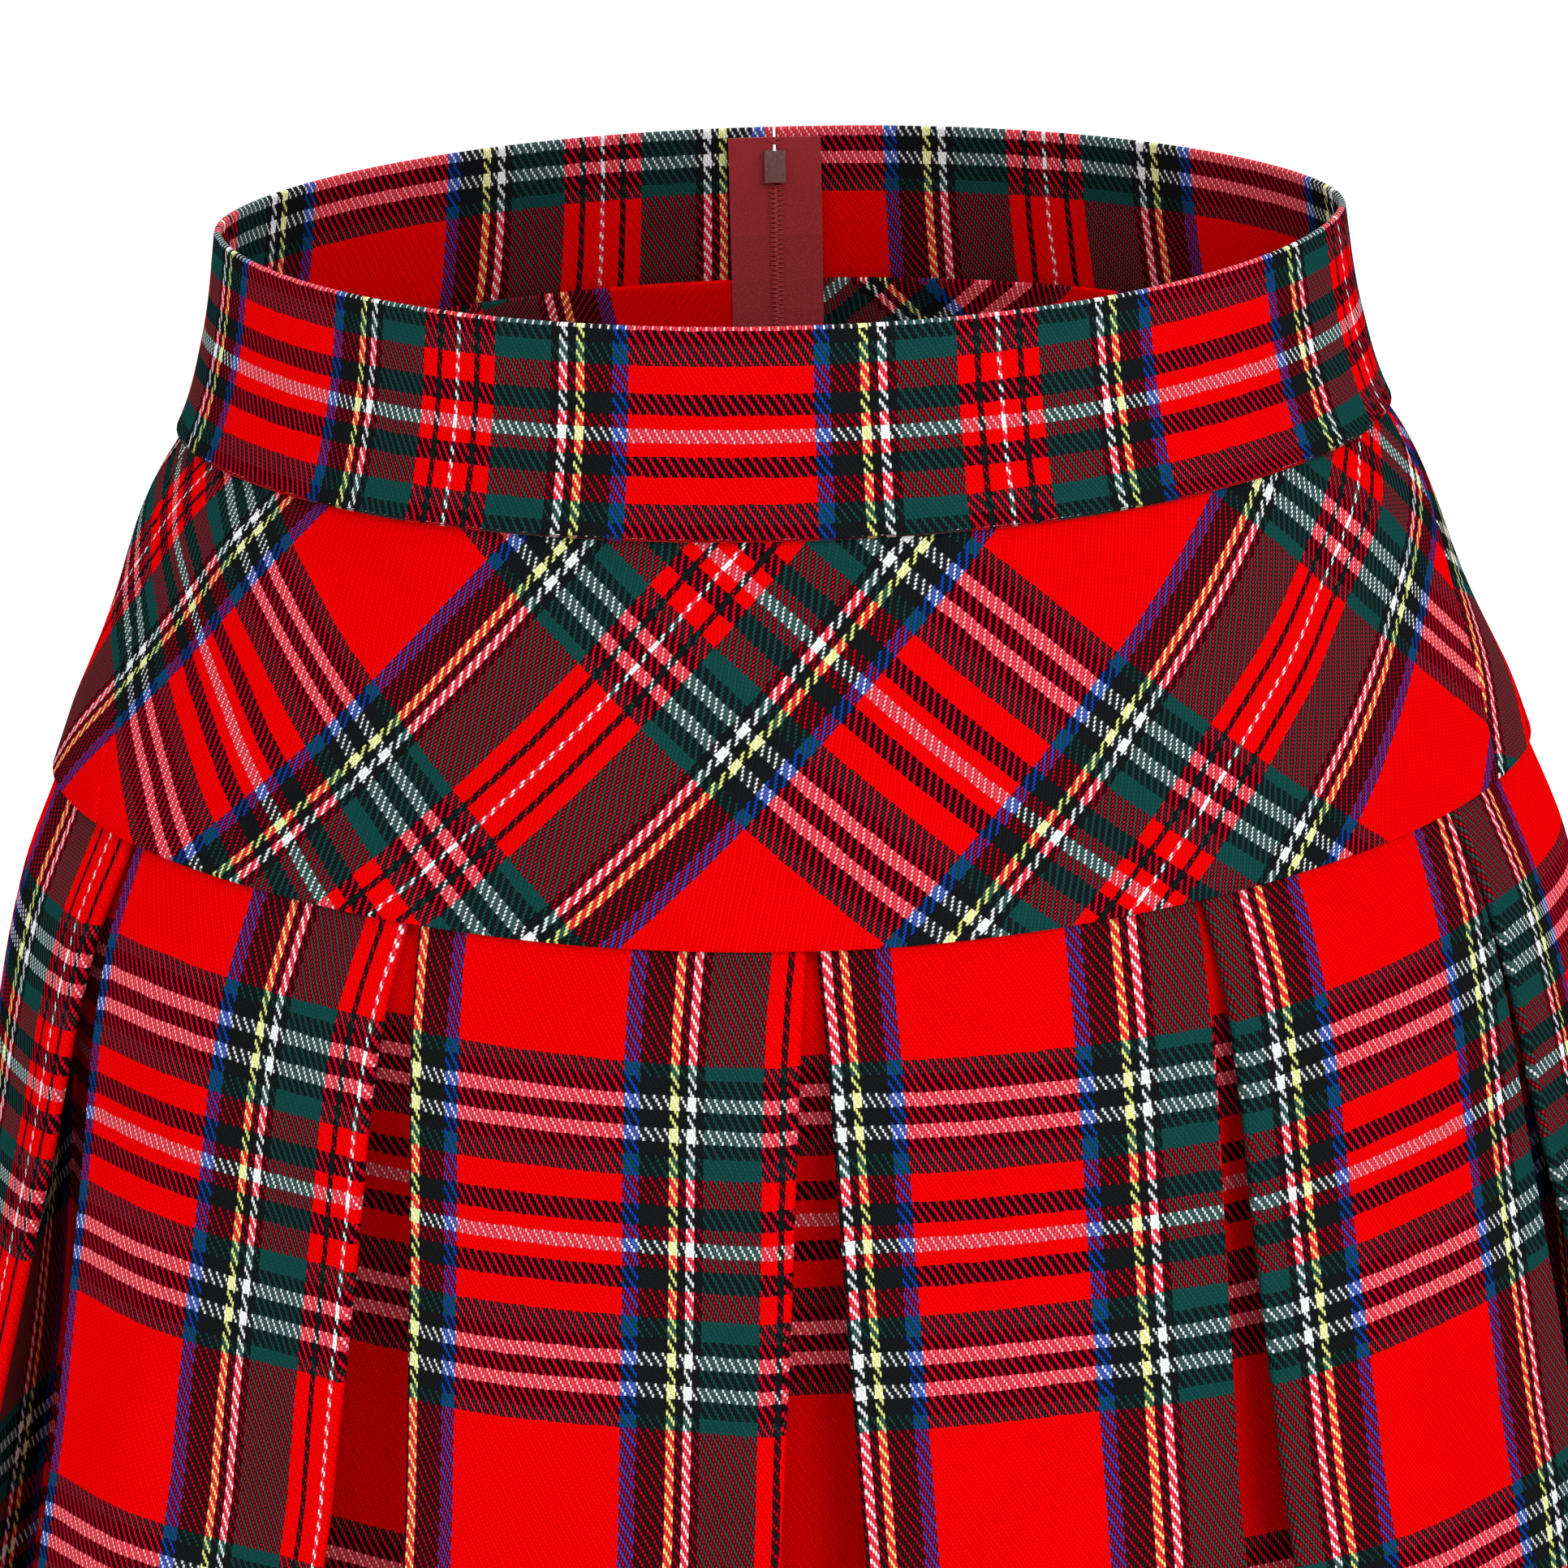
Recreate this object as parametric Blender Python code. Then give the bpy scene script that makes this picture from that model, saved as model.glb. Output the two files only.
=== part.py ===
"""A pleated skirt as worn: waistband, hip yoke, ten inverted box pleats and a centre back zip.

Metres, +Z up, the front centre on -Y. The origin is the middle of the waist opening, at the
middle height of the waistband. Every cloth piece is a closed wall that follows one stack of
level sections, so the skirt stays hollow from the waist to the hem.
"""

import math

import bpy
import numpy as np

# Heights
BAND_TOP = 0.0245
BAND_FOOT = -0.0245
YOKE_HEAD = -0.0155
YOKE_FOOT = -0.1113
SKIRT_HEAD = -0.1033
HEM = -0.3955

# Cloth
BAND_WALL = 0.0016
CLOTH_WALL = 0.0012
SEAM_GAP = 0.0003
LAP_GAP = 0.0006
BAND_OUT = CLOTH_WALL / 2 + LAP_GAP + BAND_WALL / 2
SKIRT_IN = CLOTH_WALL + LAP_GAP
SKIRT_EASE = 0.026

# Pleats
PLEATS = 10
PLEAT_DEEP = 0.0365
CLOSED_GAP = 0.0022
FOLD_RADIUS = 0.0010
OPENING_RUN = 0.070
SIDE_JOIN = 3
JOIN_OUT = 0.026

# Yoke seams, as a part of the half round from the front centre
SIDE_SEAM_HEAD = 0.485
SIDE_SEAM_FOOT = 0.400

# Zip at the centre back
ZIP_SLIT = 0.0010
TAPE_WIDE = 0.0110
TAPE_THICK = 0.0006
TAPE_TOP = 0.0225
TAPE_FOOT = -0.0985
HINGE_Z = 0.0155
SLIDER_BODY = (0.0052, 0.0014, 0.0080)
NECK_WIDE = 0.0005
NECK_TALL = 0.0030
LUG_WIDE = 0.0010
LUG_RADIUS = 0.0017
LUG_BORE = 0.0009
LUG_CLEAR = 0.0004
PULL_THICK = 0.0009
PULL_LONG = 0.0200
PULL_WINDOW = (0.0020, 0.0026)

# Rows down each piece. Lapping pieces share the rows of their lap.
BAND_ROWS = (BAND_TOP, 0.0100, -0.0030, YOKE_HEAD, BAND_FOOT)
YOKE_ROWS = (YOKE_HEAD, BAND_FOOT, -0.0350, -0.0500, -0.0680, -0.0860, SKIRT_HEAD, YOKE_FOOT)
SKIRT_ROWS = (SKIRT_HEAD, YOKE_FOOT, -0.1280, -0.1500, -0.1900, -0.2450, -0.3180, HEM)
TAPE_ROWS = (TAPE_TOP, 0.0100, -0.0030, YOKE_HEAD, BAND_FOOT, -0.0350, -0.0500, -0.0680, TAPE_FOOT)

# Steps round
BAND_STEPS = 108
YOKE_STEP = 0.0085
FOLD_STEPS = 4
RETURN_STEPS = 2
UNDERLAY_STEPS = 6
PANEL_STEPS = 6
RING_POINTS = 720

# The sections that the yoke and skirt follow. x_round and y_round are superellipse powers,
# dip is how far the front centre hangs below the sides.
COLUMNS = ("height", "half_width", "front", "back", "middle", "x_round", "y_round", "dip")
SECTIONS = (
    (0.0260, 0.1298, 0.1036, 0.0855, 0.0000, 2.09, 1.64, 0.0000),
    (0.0000, 0.1340, 0.1044, 0.0882, 0.0000, 2.09, 1.64, 0.0000),
    (-0.0245, 0.1421, 0.1051, 0.0950, 0.0010, 2.08, 1.66, 0.0000),
    (-0.0350, 0.1486, 0.1069, 0.0990, 0.0021, 2.06, 1.68, 0.0010),
    (-0.0680, 0.1619, 0.1125, 0.1120, 0.0060, 1.98, 1.74, 0.0045),
    (-0.1113, 0.1797, 0.1200, 0.1265, 0.0110, 1.88, 1.84, 0.0089),
    (-0.1500, 0.1918, 0.1262, 0.1350, 0.0112, 1.92, 1.88, 0.0089),
    (-0.1900, 0.2001, 0.1322, 0.1420, 0.0112, 1.95, 1.92, 0.0089),
    (-0.2300, 0.2092, 0.1385, 0.1490, 0.0112, 1.98, 1.96, 0.0089),
    (-0.2720, 0.2186, 0.1450, 0.1560, 0.0112, 2.00, 2.00, 0.0089),
    (-0.3350, 0.2312, 0.1540, 0.1655, 0.0112, 2.00, 2.00, 0.0089),
    (-0.3955, 0.2420, 0.1615, 0.1730, 0.0112, 2.00, 2.00, 0.0089),
)


def clear_scene():
    for obj in list(bpy.data.objects):
        bpy.data.objects.remove(obj, do_unlink=True)


def collection(name, helper=False):
    group = bpy.data.collections.new(name)
    bpy.context.scene.collection.children.link(group)
    group.hide_render = helper
    return group


def material(name, colour, roughness, metallic=0.0):
    mat = bpy.data.materials.new(name)
    mat.use_nodes = True
    shader = mat.node_tree.nodes["Principled BSDF"]
    shader.inputs["Base Color"].default_value = (*colour, 1.0)
    shader.inputs["Roughness"].default_value = roughness
    shader.inputs["Metallic"].default_value = metallic
    return mat


def section_at(height):
    """The section table read at a height, along smooth curves through its rows."""
    table = np.array(SECTIONS)[::-1]
    heights = table[:, 0]
    slopes = np.gradient(table, heights, axis=0)
    row = int(np.clip(np.searchsorted(heights, height) - 1, 0, len(heights) - 2))
    step = heights[row + 1] - heights[row]
    t = (height - heights[row]) / step
    value = (
        (1 + 2 * t) * (1 - t) ** 2 * table[row]
        + t * (1 - t) ** 2 * step * slopes[row]
        + t * t * (3 - 2 * t) * table[row + 1]
        + t * t * (t - 1) * step * slopes[row + 1]
    )
    return dict(zip(COLUMNS, value))


class Ring:
    """One level section. s runs round it from the front centre, positive towards +X."""

    def __init__(self, height, out=0.0):
        sec = section_at(height)
        turn = np.linspace(-math.pi, math.pi, RING_POINTS, endpoint=False)
        across = np.sin(turn)
        along = -np.cos(turn)
        depth = np.where(along < 0, sec["front"], sec["back"])
        x = sec["half_width"] * np.sign(across) * np.abs(across) ** (2 / sec["x_round"])
        y = depth * np.sign(along) * np.abs(along) ** (2 / sec["y_round"])
        for _ in range(3):
            x, y = self.evened(x, y)
        wave = np.fft.fft(x + 1j * y)
        harmonic = np.abs(np.fft.fftfreq(RING_POINTS, 1 / RING_POINTS))
        wave = np.fft.ifft(wave * np.exp(-((harmonic / 26) ** 2)))
        x, y = wave.real, wave.imag
        ahead = np.stack([np.roll(x, -1) - np.roll(x, 1), np.roll(y, -1) - np.roll(y, 1)], 1)
        ahead /= np.linalg.norm(ahead, axis=1)[:, None]
        self.normal = np.stack([ahead[:, 1], -ahead[:, 0]], 1)
        front = np.clip(-y / sec["front"], 0, None) ** 2
        x = x + out * self.normal[:, 0]
        y = y + out * self.normal[:, 1]
        self.points = np.stack([x, y + sec["middle"], height - sec["dip"] * front], 1)
        step = np.hypot(np.roll(x, -1) - x, np.roll(y, -1) - y)
        start = np.concatenate([[0.0], np.cumsum(step)])
        self.round = start[-1]
        self.s = start - start[RING_POINTS // 2]
        self.points = np.vstack([self.points, self.points[:1]])
        self.normal = np.vstack([self.normal, self.normal[:1]])

    @staticmethod
    def evened(x, y):
        """The same closed curve with its points evenly spaced, the front centre kept."""
        x = np.append(x, x[0])
        y = np.append(y, y[0])
        run = np.concatenate([[0.0], np.cumsum(np.hypot(np.diff(x), np.diff(y)))])
        even = np.linspace(0, run[-1], RING_POINTS, endpoint=False)
        return np.interp(even, run, x), np.interp(even, run, y)

    def normal_at(self, s):
        s = (s - self.s[0]) % self.round + self.s[0]
        out = np.array([np.interp(s, self.s, self.normal[:, i]) for i in (0, 1)])
        return np.append(out / np.linalg.norm(out), 0.0)

    def at(self, s, out=0.0):
        """The point at s round the section, moved out from it by out."""
        normal = self.normal_at(s)
        s = (s - self.s[0]) % self.round + self.s[0]
        point = np.array([np.interp(s, self.s, self.points[:, i]) for i in range(3)])
        return point + out * normal

    def bend(self, s, reach=0.036):
        """Mean curvature over the cloth within reach of s."""
        before = self.normal_at(s - reach)
        after = self.normal_at(s + reach)
        angle = math.atan2(before[0] * after[1] - before[1] * after[0], before[:2] @ after[:2])
        return angle / (2 * reach)


def wall(outer, inner):
    """Vertices and faces of a closed wall between two grids of points, [row][column]."""
    rows, columns = outer.shape[:2]
    verts = [tuple(p) for p in outer.reshape(-1, 3)] + [tuple(p) for p in inner.reshape(-1, 3)]
    back = rows * columns

    def at(row, column, side=0):
        return side * back + row * columns + column

    faces = []
    for row in range(rows - 1):
        for column in range(columns - 1):
            quad = [at(row, column), at(row + 1, column)]
            quad += [at(row + 1, column + 1), at(row, column + 1)]
            faces.append(quad)
            faces.append([back + v for v in reversed(quad)])
    for row in range(rows - 1):
        last = columns - 1
        faces.append([at(row, 0, 1), at(row + 1, 0, 1), at(row + 1, 0), at(row, 0)])
        faces.append([at(row, last), at(row + 1, last), at(row + 1, last, 1), at(row, last, 1)])
    for column in range(columns - 1):
        last = rows - 1
        faces.append([at(0, column), at(0, column + 1), at(0, column + 1, 1), at(0, column, 1)])
        foot = [at(last, column + 1), at(last, column)]
        faces.append(foot + [at(last, column, 1), at(last, column + 1, 1)])
    return verts, faces


def solid(name, verts, faces, mat, group):
    mesh = bpy.data.meshes.new(name)
    mesh.from_pydata(verts, [], faces)
    mesh.update()
    obj = bpy.data.objects.new(name, mesh)
    mesh.materials.append(mat)
    group.objects.link(obj)
    return obj


def strip(name, heights, start, end, columns, out, thick, mat, group):
    """A cloth wall round the body from start to end, each a function of (ring, height)."""
    outer = []
    inner = []
    for height in heights:
        ring = Ring(height)
        stops = np.linspace(start(ring, height), end(ring, height), columns + 1)
        outer.append([ring.at(s, out + thick / 2) for s in stops])
        inner.append([ring.at(s, out - thick / 2) for s in stops])
    verts, faces = wall(np.array(outer), np.array(inner))
    return solid(name, verts, faces, mat, group)


# Waistband and yoke

def back_slit(side):
    """The edge beside the zip slit, on the given side of the centre back."""
    return lambda ring, height: side * (ring.round - ZIP_SLIT) / 2


def side_seam(side, shift=0.0):
    def at(ring, height):
        fall = (YOKE_HEAD - height) / (YOKE_HEAD - YOKE_FOOT)
        part = SIDE_SEAM_HEAD + fall * (SIDE_SEAM_FOOT - SIDE_SEAM_HEAD)
        return side * (part * ring.round / 2 + shift)

    return at


def make_waistband(mat, group):
    left, right = back_slit(-1), back_slit(1)
    strip("waistband", BAND_ROWS, left, right, BAND_STEPS, BAND_OUT, BAND_WALL, mat, group)


def make_yoke(mat, group):
    half = SEAM_GAP / 2
    pieces = (
        ("yoke_front", side_seam(-1, -half), side_seam(1, -half)),
        ("yoke_back_left", side_seam(1, half), back_slit(1)),
        ("yoke_back_right", back_slit(-1), side_seam(-1, half)),
    )
    middle = (YOKE_HEAD + YOKE_FOOT) / 2
    for name, start, end in pieces:
        ring = Ring(middle)
        run = end(ring, middle) - start(ring, middle)
        columns = round(run / YOKE_STEP)
        strip(name, YOKE_ROWS, start, end, columns, 0.0, CLOTH_WALL, mat, group)


# Pleated skirt

def eased(t):
    t = min(max(t, 0.0), 1.0)
    return t * t * (3 - 2 * t)


def skirt_out(height):
    """How far the skirt sits inside the yoke where the yoke laps over it, easing to none."""
    return -SKIRT_IN * (1 - eased((YOKE_FOOT - height) / SKIRT_EASE))


def fold_angle(gap, depth, reach):
    """The slope of a return between its two rounded folds."""
    slope = 0.0
    for _ in range(40):
        rise = depth - 2 * FOLD_RADIUS * (1 + math.cos(slope))
        run = reach - gap / 2 - 2 * FOLD_RADIUS * (1 - math.sin(slope))
        slope = math.atan2(max(rise, 0.0), run)
    return slope


def pleat_half(gap, depth):
    """(across, outward) points of half a pleat, from the edge of a panel to the underlay's
    middle. The fold turns back under the panel, runs to the inner fold and returns."""
    reach = PLEAT_DEEP + CLOSED_GAP / 2
    slope = fold_angle(gap, depth, reach)
    r = FOLD_RADIUS
    path = []
    for i in range(FOLD_STEPS + 1):
        angle = math.pi / 2 - (math.pi - slope) * i / FOLD_STEPS
        path.append((-gap / 2 - r + r * math.cos(angle), -r + r * math.sin(angle)))
    fold_end = np.array(path[-1])
    inner = []
    for i in range(FOLD_STEPS + 1):
        angle = math.pi / 2 + slope + (math.pi - slope) * i / FOLD_STEPS
        inner.append((-reach + r + r * math.cos(angle), -depth + r + r * math.sin(angle)))
    for i in range(1, RETURN_STEPS):
        path.append(tuple(fold_end + (np.array(inner[0]) - fold_end) * i / RETURN_STEPS))
    path += inner
    half = UNDERLAY_STEPS // 2
    for i in range(1, half + 1):
        path.append((-(reach - r) * (1 - i / half), -depth))
    return np.array(path)


def pleat_depth(gap, height):
    """How deep the underlay hangs behind the panels once the pleat has opened to gap."""
    closed = 4 * FOLD_RADIUS
    opened = math.sqrt(max(PLEAT_DEEP**2 - (PLEAT_DEEP - (gap - CLOSED_GAP) / 2) ** 2, 0.0))
    share = eased((YOKE_FOOT - height) / OPENING_RUN)
    return closed + max(opened - closed, 0.0) * share


def panel_width():
    return Ring(SKIRT_HEAD, -SKIRT_IN).round / PLEATS - CLOSED_GAP


def offset(path, by):
    """A flat path moved sideways by a distance, to the left of its run."""
    ahead = np.diff(path, axis=0)
    ahead /= np.linalg.norm(ahead, axis=1)[:, None]
    left = np.stack([-ahead[:, 1], ahead[:, 0]], 1)
    before = np.vstack([left[:1], left])
    after = np.vstack([left, left[-1:]])
    mid = before + after
    mid /= np.linalg.norm(mid, axis=1)[:, None]
    grow = 1 / np.clip((mid * after).sum(1), 0.5, None)
    return path + mid * (by * grow)[:, None]


def skirt_level(height, first, last, start_cut, end_cut, width):
    """Outer and inner points of one level, from a cut in pleat first's underlay to one in
    pleat last's. A cut is (across) from that pleat's middle."""
    ring = Ring(height, skirt_out(height))
    gap = max(ring.round / PLEATS - width, CLOSED_GAP)
    depth = pleat_depth(gap, height)
    half = pleat_half(gap, depth)
    under = UNDERLAY_STEPS // 2
    flat = half[-1 - under][0]
    path = []
    owner = []
    for k in range(first, last + 1):
        middle = k * ring.round / PLEATS
        left = half.copy()
        right = (half * (-1, 1))[::-1].copy()
        if k == first:
            left = np.zeros((0, 2))
            right[: under + 1, 0] = np.linspace(start_cut, -flat, under + 1)
        elif k == last:
            right = np.zeros((0, 2))
            left[-1 - under :, 0] = np.linspace(flat, end_cut, under + 1)
        else:
            right = right[1:]
        for across, out in np.vstack([left, right]):
            path.append((middle + across, out))
            owner.append(k)
        if k < last:
            start = middle + gap / 2 + FOLD_RADIUS
            end = middle + ring.round / PLEATS - gap / 2 - FOLD_RADIUS
            for i in range(1, PANEL_STEPS):
                path.append((start + (end - start) * i / PANEL_STEPS, 0.0))
                owner.append(None)
    path = np.array(path)
    walls = []
    for side in (1, -1):
        moved = offset(path, side * CLOTH_WALL / 2)
        points = []
        for (s, out), k in zip(moved, owner):
            if k is not None:
                middle = k * ring.round / PLEATS
                bend = ring.bend(middle)
                s = middle + (s - middle) / (1 - bend * max(-out, 0.0))
            points.append(ring.at(s, out))
        walls.append(points)
    return walls


def make_skirt(mat, group):
    width = panel_width()
    half = SEAM_GAP / 2
    last = PLEATS // 2
    pieces = (
        ("skirt_front", -SIDE_JOIN, SIDE_JOIN, -JOIN_OUT + half, JOIN_OUT - half),
        ("skirt_back_left", SIDE_JOIN, last, JOIN_OUT + half, -half),
        ("skirt_back_right", -last, -SIDE_JOIN, half, -JOIN_OUT - half),
    )
    for name, first, end, start_cut, end_cut in pieces:
        outer = []
        inner = []
        for height in SKIRT_ROWS:
            level = skirt_level(height, first, end, start_cut, end_cut, width)
            outer.append(level[0])
            inner.append(level[1])
        verts, faces = wall(np.array(outer), np.array(inner))
        solid(name, verts, faces, mat, group)


# Zip

def back_line(height, out):
    """The point at the centre back, moved out from the yoke's surface by out."""
    ring = Ring(height)
    return ring.at(ring.round / 2, out)


def make_tapes(mat, group):
    for name, side in (("zip_tape_left", 1), ("zip_tape_right", -1)):
        outer = []
        inner = []
        for height in TAPE_ROWS:
            ring = Ring(height)
            edge = ring.round / 2 - ZIP_SLIT / 2
            stops = side * np.linspace(edge, edge - TAPE_WIDE, 4)[:: -side]
            mid = -(CLOTH_WALL / 2 + SEAM_GAP + TAPE_THICK / 2)
            outer.append([ring.at(s, mid + TAPE_THICK / 2) for s in stops])
            inner.append([ring.at(s, mid - TAPE_THICK / 2) for s in stops])
        verts, faces = wall(np.array(outer), np.array(inner))
        solid(name, verts, faces, mat, group)


def box(name, low, high, mat, group):
    verts = [(x, y, z) for x in (low[0], high[0]) for y in (low[1], high[1]) for z in (low[2], high[2])]
    faces = [(0, 1, 3, 2), (4, 6, 7, 5), (0, 4, 5, 1), (2, 3, 7, 6), (0, 2, 6, 4), (1, 5, 7, 3)]
    return solid(name, verts, faces, mat, group)


def hinge_point():
    """The middle of the lug's bore, just outside the waistband."""
    return back_line(HINGE_Z, BAND_OUT + BAND_WALL / 2 + LUG_CLEAR + LUG_RADIUS)


def make_slider(mat, group, helpers):
    """The slider's body inside the tapes, a neck through the slit and a lug for the pull."""
    hinge = hinge_point()
    body_wide, body_deep, body_tall = SLIDER_BODY
    behind = -(CLOTH_WALL / 2 + SEAM_GAP + TAPE_THICK + SEAM_GAP)
    behind -= 0.0004
    face = min(back_line(HINGE_Z + z, behind)[1] for z in (-body_tall / 2, 0, body_tall / 2))
    low = (-body_wide / 2, face - body_deep, HINGE_Z - body_tall / 2)
    high = (body_wide / 2, face, HINGE_Z + body_tall / 2)
    slider = box("zip_slider", low, high, mat, group)
    low = (-NECK_WIDE / 2, face - body_deep / 2, HINGE_Z - NECK_TALL / 2)
    high = (NECK_WIDE / 2, hinge[1] - LUG_BORE - 0.0002, HINGE_Z + NECK_TALL / 2)
    neck = box("neck", low, high, mat, helpers)
    sides = 24
    verts = []
    for x in (-LUG_WIDE / 2, LUG_WIDE / 2):
        for radius in (LUG_BORE, LUG_RADIUS):
            for i in range(sides):
                angle = 2 * math.pi * i / sides
                verts.append((x, hinge[1] + radius * math.cos(angle), hinge[2] + radius * math.sin(angle)))
    faces = []
    for i in range(sides):
        j = (i + 1) % sides
        bore, rim, far_bore, far_rim = (k * sides for k in range(4))
        faces.append((bore + i, rim + i, rim + j, bore + j)[::-1])
        faces.append((far_bore + i, far_rim + i, far_rim + j, far_bore + j))
        faces.append((rim + i, far_rim + i, far_rim + j, rim + j)[::-1])
        faces.append((bore + i, far_bore + i, far_bore + j, bore + j))
    lug = solid("lug", verts, faces, mat, helpers)
    for helper in (neck, lug):
        helper.display_type = "WIRE"
        join = slider.modifiers.new("join " + helper.name, "BOOLEAN")
        join.operation = "UNION"
        join.solver = "EXACT"
        join.object = helper


def pull_outline():
    """Half widths of the pull from its crossbar to its rounded end, as (down, half_width)."""
    bar = PULL_THICK / 2
    neck = PULL_WINDOW[0] / 2 + 0.0008
    foot = 0.0034
    rows = [(-bar, neck), (PULL_WINDOW[1] + 0.0006, neck)]
    swell = np.linspace(0, 1, 7)[1:]
    top, end = PULL_WINDOW[1] + 0.0006, PULL_LONG - foot
    rows += [(top + (end - top) * t, neck + (foot - neck) * eased(t)) for t in swell]
    for i in range(1, 6):
        angle = math.pi / 2 * i / 6
        rows.append((end + foot * math.sin(angle), foot * math.cos(angle)))
    return rows


def make_pull(mat, group):
    """A teardrop tab whose crossbar turns in the lug. It leans with the cloth behind it."""
    hinge = hinge_point()
    below = back_line(HINGE_Z - PULL_LONG, BAND_OUT + BAND_WALL / 2)
    beside = back_line(HINGE_Z, BAND_OUT + BAND_WALL / 2)
    lean = math.atan2(below[1] - beside[1], PULL_LONG)
    half = [(w, d) for d, w in pull_outline()]
    rim = half + [(0.0, PULL_LONG)] + [(-w, d) for w, d in reversed(half)]
    wide, long = PULL_WINDOW[0] / 2, PULL_WINDOW[1]
    bar = PULL_THICK / 2
    hole = [(wide, bar), (wide, long), (-wide, long), (-wide, bar)]
    flat = [(x, d) for x, d in rim + hole]
    verts = []
    for side in (1, -1):
        for x, down in flat:
            out = side * PULL_THICK / 2
            y = hinge[1] + down * math.sin(lean) + out * math.cos(lean)
            z = hinge[2] - down * math.cos(lean) + out * math.sin(lean)
            verts.append((x, y, z))
    count, ring = len(flat), len(rim)
    last = ring - 1
    low = len(half) + 1
    # The frame round the window in four quads, then rows of quads down to the rounded end.
    face = [(0, ring, ring + 3, last), (0, 1, ring + 1, ring), (last, ring + 3, ring + 2, last - 1)]
    face += [(ring + 1, 1, last - 1, ring + 2)]
    face += [(i, i + 1, last - i - 1, last - i) for i in range(1, low - 2)]
    face += [(low - 2, low - 1, low)]
    faces = face + [tuple(count + v for v in reversed(f)) for f in face]
    for i in range(ring):
        j = (i + 1) % ring
        faces.append((j, i, count + i, count + j))
    for i in range(4):
        a, b = ring + i, ring + (i + 1) % 4
        faces.append((a, b, count + b, count + a))
    solid("zip_pull", verts, faces, mat, group)


def main():
    clear_scene()
    group = collection("tartan_skirt")
    tartan = material("wool_tartan", (0.42, 0.02, 0.03), 0.85)
    tape = material("zip_tape", (0.05, 0.012, 0.014), 0.8)
    make_waistband(tartan, group)
    make_yoke(tartan, group)
    make_skirt(tartan, group)
    make_tapes(tape, group)
    metal = material("zip_metal", (0.55, 0.55, 0.57), 0.35, 1.0)
    make_slider(metal, group, collection("cutters", helper=True))
    make_pull(metal, group)


main()
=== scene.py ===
"""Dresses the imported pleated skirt: fine cloth shells with a woven tartan, sewing, a zip, a pale
floor, soft light and the camera. Metres, +Z up, the front centre on -Y, as in the frame.
"""

import math

import bpy
import numpy as np
from mathutils import Matrix, Vector


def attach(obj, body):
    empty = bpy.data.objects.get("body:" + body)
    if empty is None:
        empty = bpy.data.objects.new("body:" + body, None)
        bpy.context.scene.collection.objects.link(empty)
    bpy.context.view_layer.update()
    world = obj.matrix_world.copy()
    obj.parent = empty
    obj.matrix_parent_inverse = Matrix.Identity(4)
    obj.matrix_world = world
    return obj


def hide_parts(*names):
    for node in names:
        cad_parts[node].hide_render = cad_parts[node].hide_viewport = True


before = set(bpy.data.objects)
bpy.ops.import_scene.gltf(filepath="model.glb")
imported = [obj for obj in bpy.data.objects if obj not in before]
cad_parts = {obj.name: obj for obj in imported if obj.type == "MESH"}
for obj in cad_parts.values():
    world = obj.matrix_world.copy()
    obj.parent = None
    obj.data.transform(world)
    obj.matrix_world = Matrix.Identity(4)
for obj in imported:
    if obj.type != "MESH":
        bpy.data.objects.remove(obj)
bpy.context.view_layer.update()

# Form, the same named values as the part
BAND_TOP = 0.0245
BAND_FOOT = -0.0245
YOKE_HEAD = -0.0155
YOKE_FOOT = -0.1113
SKIRT_HEAD = -0.1033
HEM = -0.3955
BAND_WALL = 0.0016
CLOTH_WALL = 0.0012
SEAM_GAP = 0.0003
LAP_GAP = 0.0006
BAND_OUT = CLOTH_WALL / 2 + LAP_GAP + BAND_WALL / 2
SKIRT_IN = CLOTH_WALL + LAP_GAP
SKIRT_EASE = 0.026
PLEATS = 10
PLEAT_DEEP = 0.0365
CLOSED_GAP = 0.0022
FOLD_RADIUS = 0.0010
OPENING_RUN = 0.070
SIDE_JOIN = 3
JOIN_OUT = 0.026
SIDE_SEAM_HEAD = 0.485
SIDE_SEAM_FOOT = 0.400
ZIP_SLIT = 0.0010
TAPE_THICK = 0.0006
TAPE_FOOT = -0.0985
HINGE_Z = 0.0155

# A level section: its points, the passes that space them evenly, and where its corners are smoothed
RING_POINTS = 720
EVENINGS = 3
SMOOTH_HARMONIC = 26

COLUMNS = ("height", "half_width", "front", "back", "middle", "x_round", "y_round", "dip")
SECTIONS = (
    (0.0260, 0.1298, 0.1036, 0.0855, 0.0000, 2.09, 1.64, 0.0000),
    (0.0000, 0.1340, 0.1044, 0.0882, 0.0000, 2.09, 1.64, 0.0000),
    (-0.0245, 0.1421, 0.1051, 0.0950, 0.0010, 2.08, 1.66, 0.0000),
    (-0.0350, 0.1486, 0.1069, 0.0990, 0.0021, 2.06, 1.68, 0.0010),
    (-0.0680, 0.1619, 0.1125, 0.1120, 0.0060, 1.98, 1.74, 0.0045),
    (-0.1113, 0.1797, 0.1200, 0.1265, 0.0110, 1.88, 1.84, 0.0089),
    (-0.1500, 0.1918, 0.1262, 0.1350, 0.0112, 1.92, 1.88, 0.0089),
    (-0.1900, 0.2001, 0.1322, 0.1420, 0.0112, 1.95, 1.92, 0.0089),
    (-0.2300, 0.2092, 0.1385, 0.1490, 0.0112, 1.98, 1.96, 0.0089),
    (-0.2720, 0.2186, 0.1450, 0.1560, 0.0112, 2.00, 2.00, 0.0089),
    (-0.3350, 0.2312, 0.1540, 0.1655, 0.0112, 2.00, 2.00, 0.0089),
    (-0.3955, 0.2420, 0.1615, 0.1730, 0.0112, 2.00, 2.00, 0.0089),
)

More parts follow.
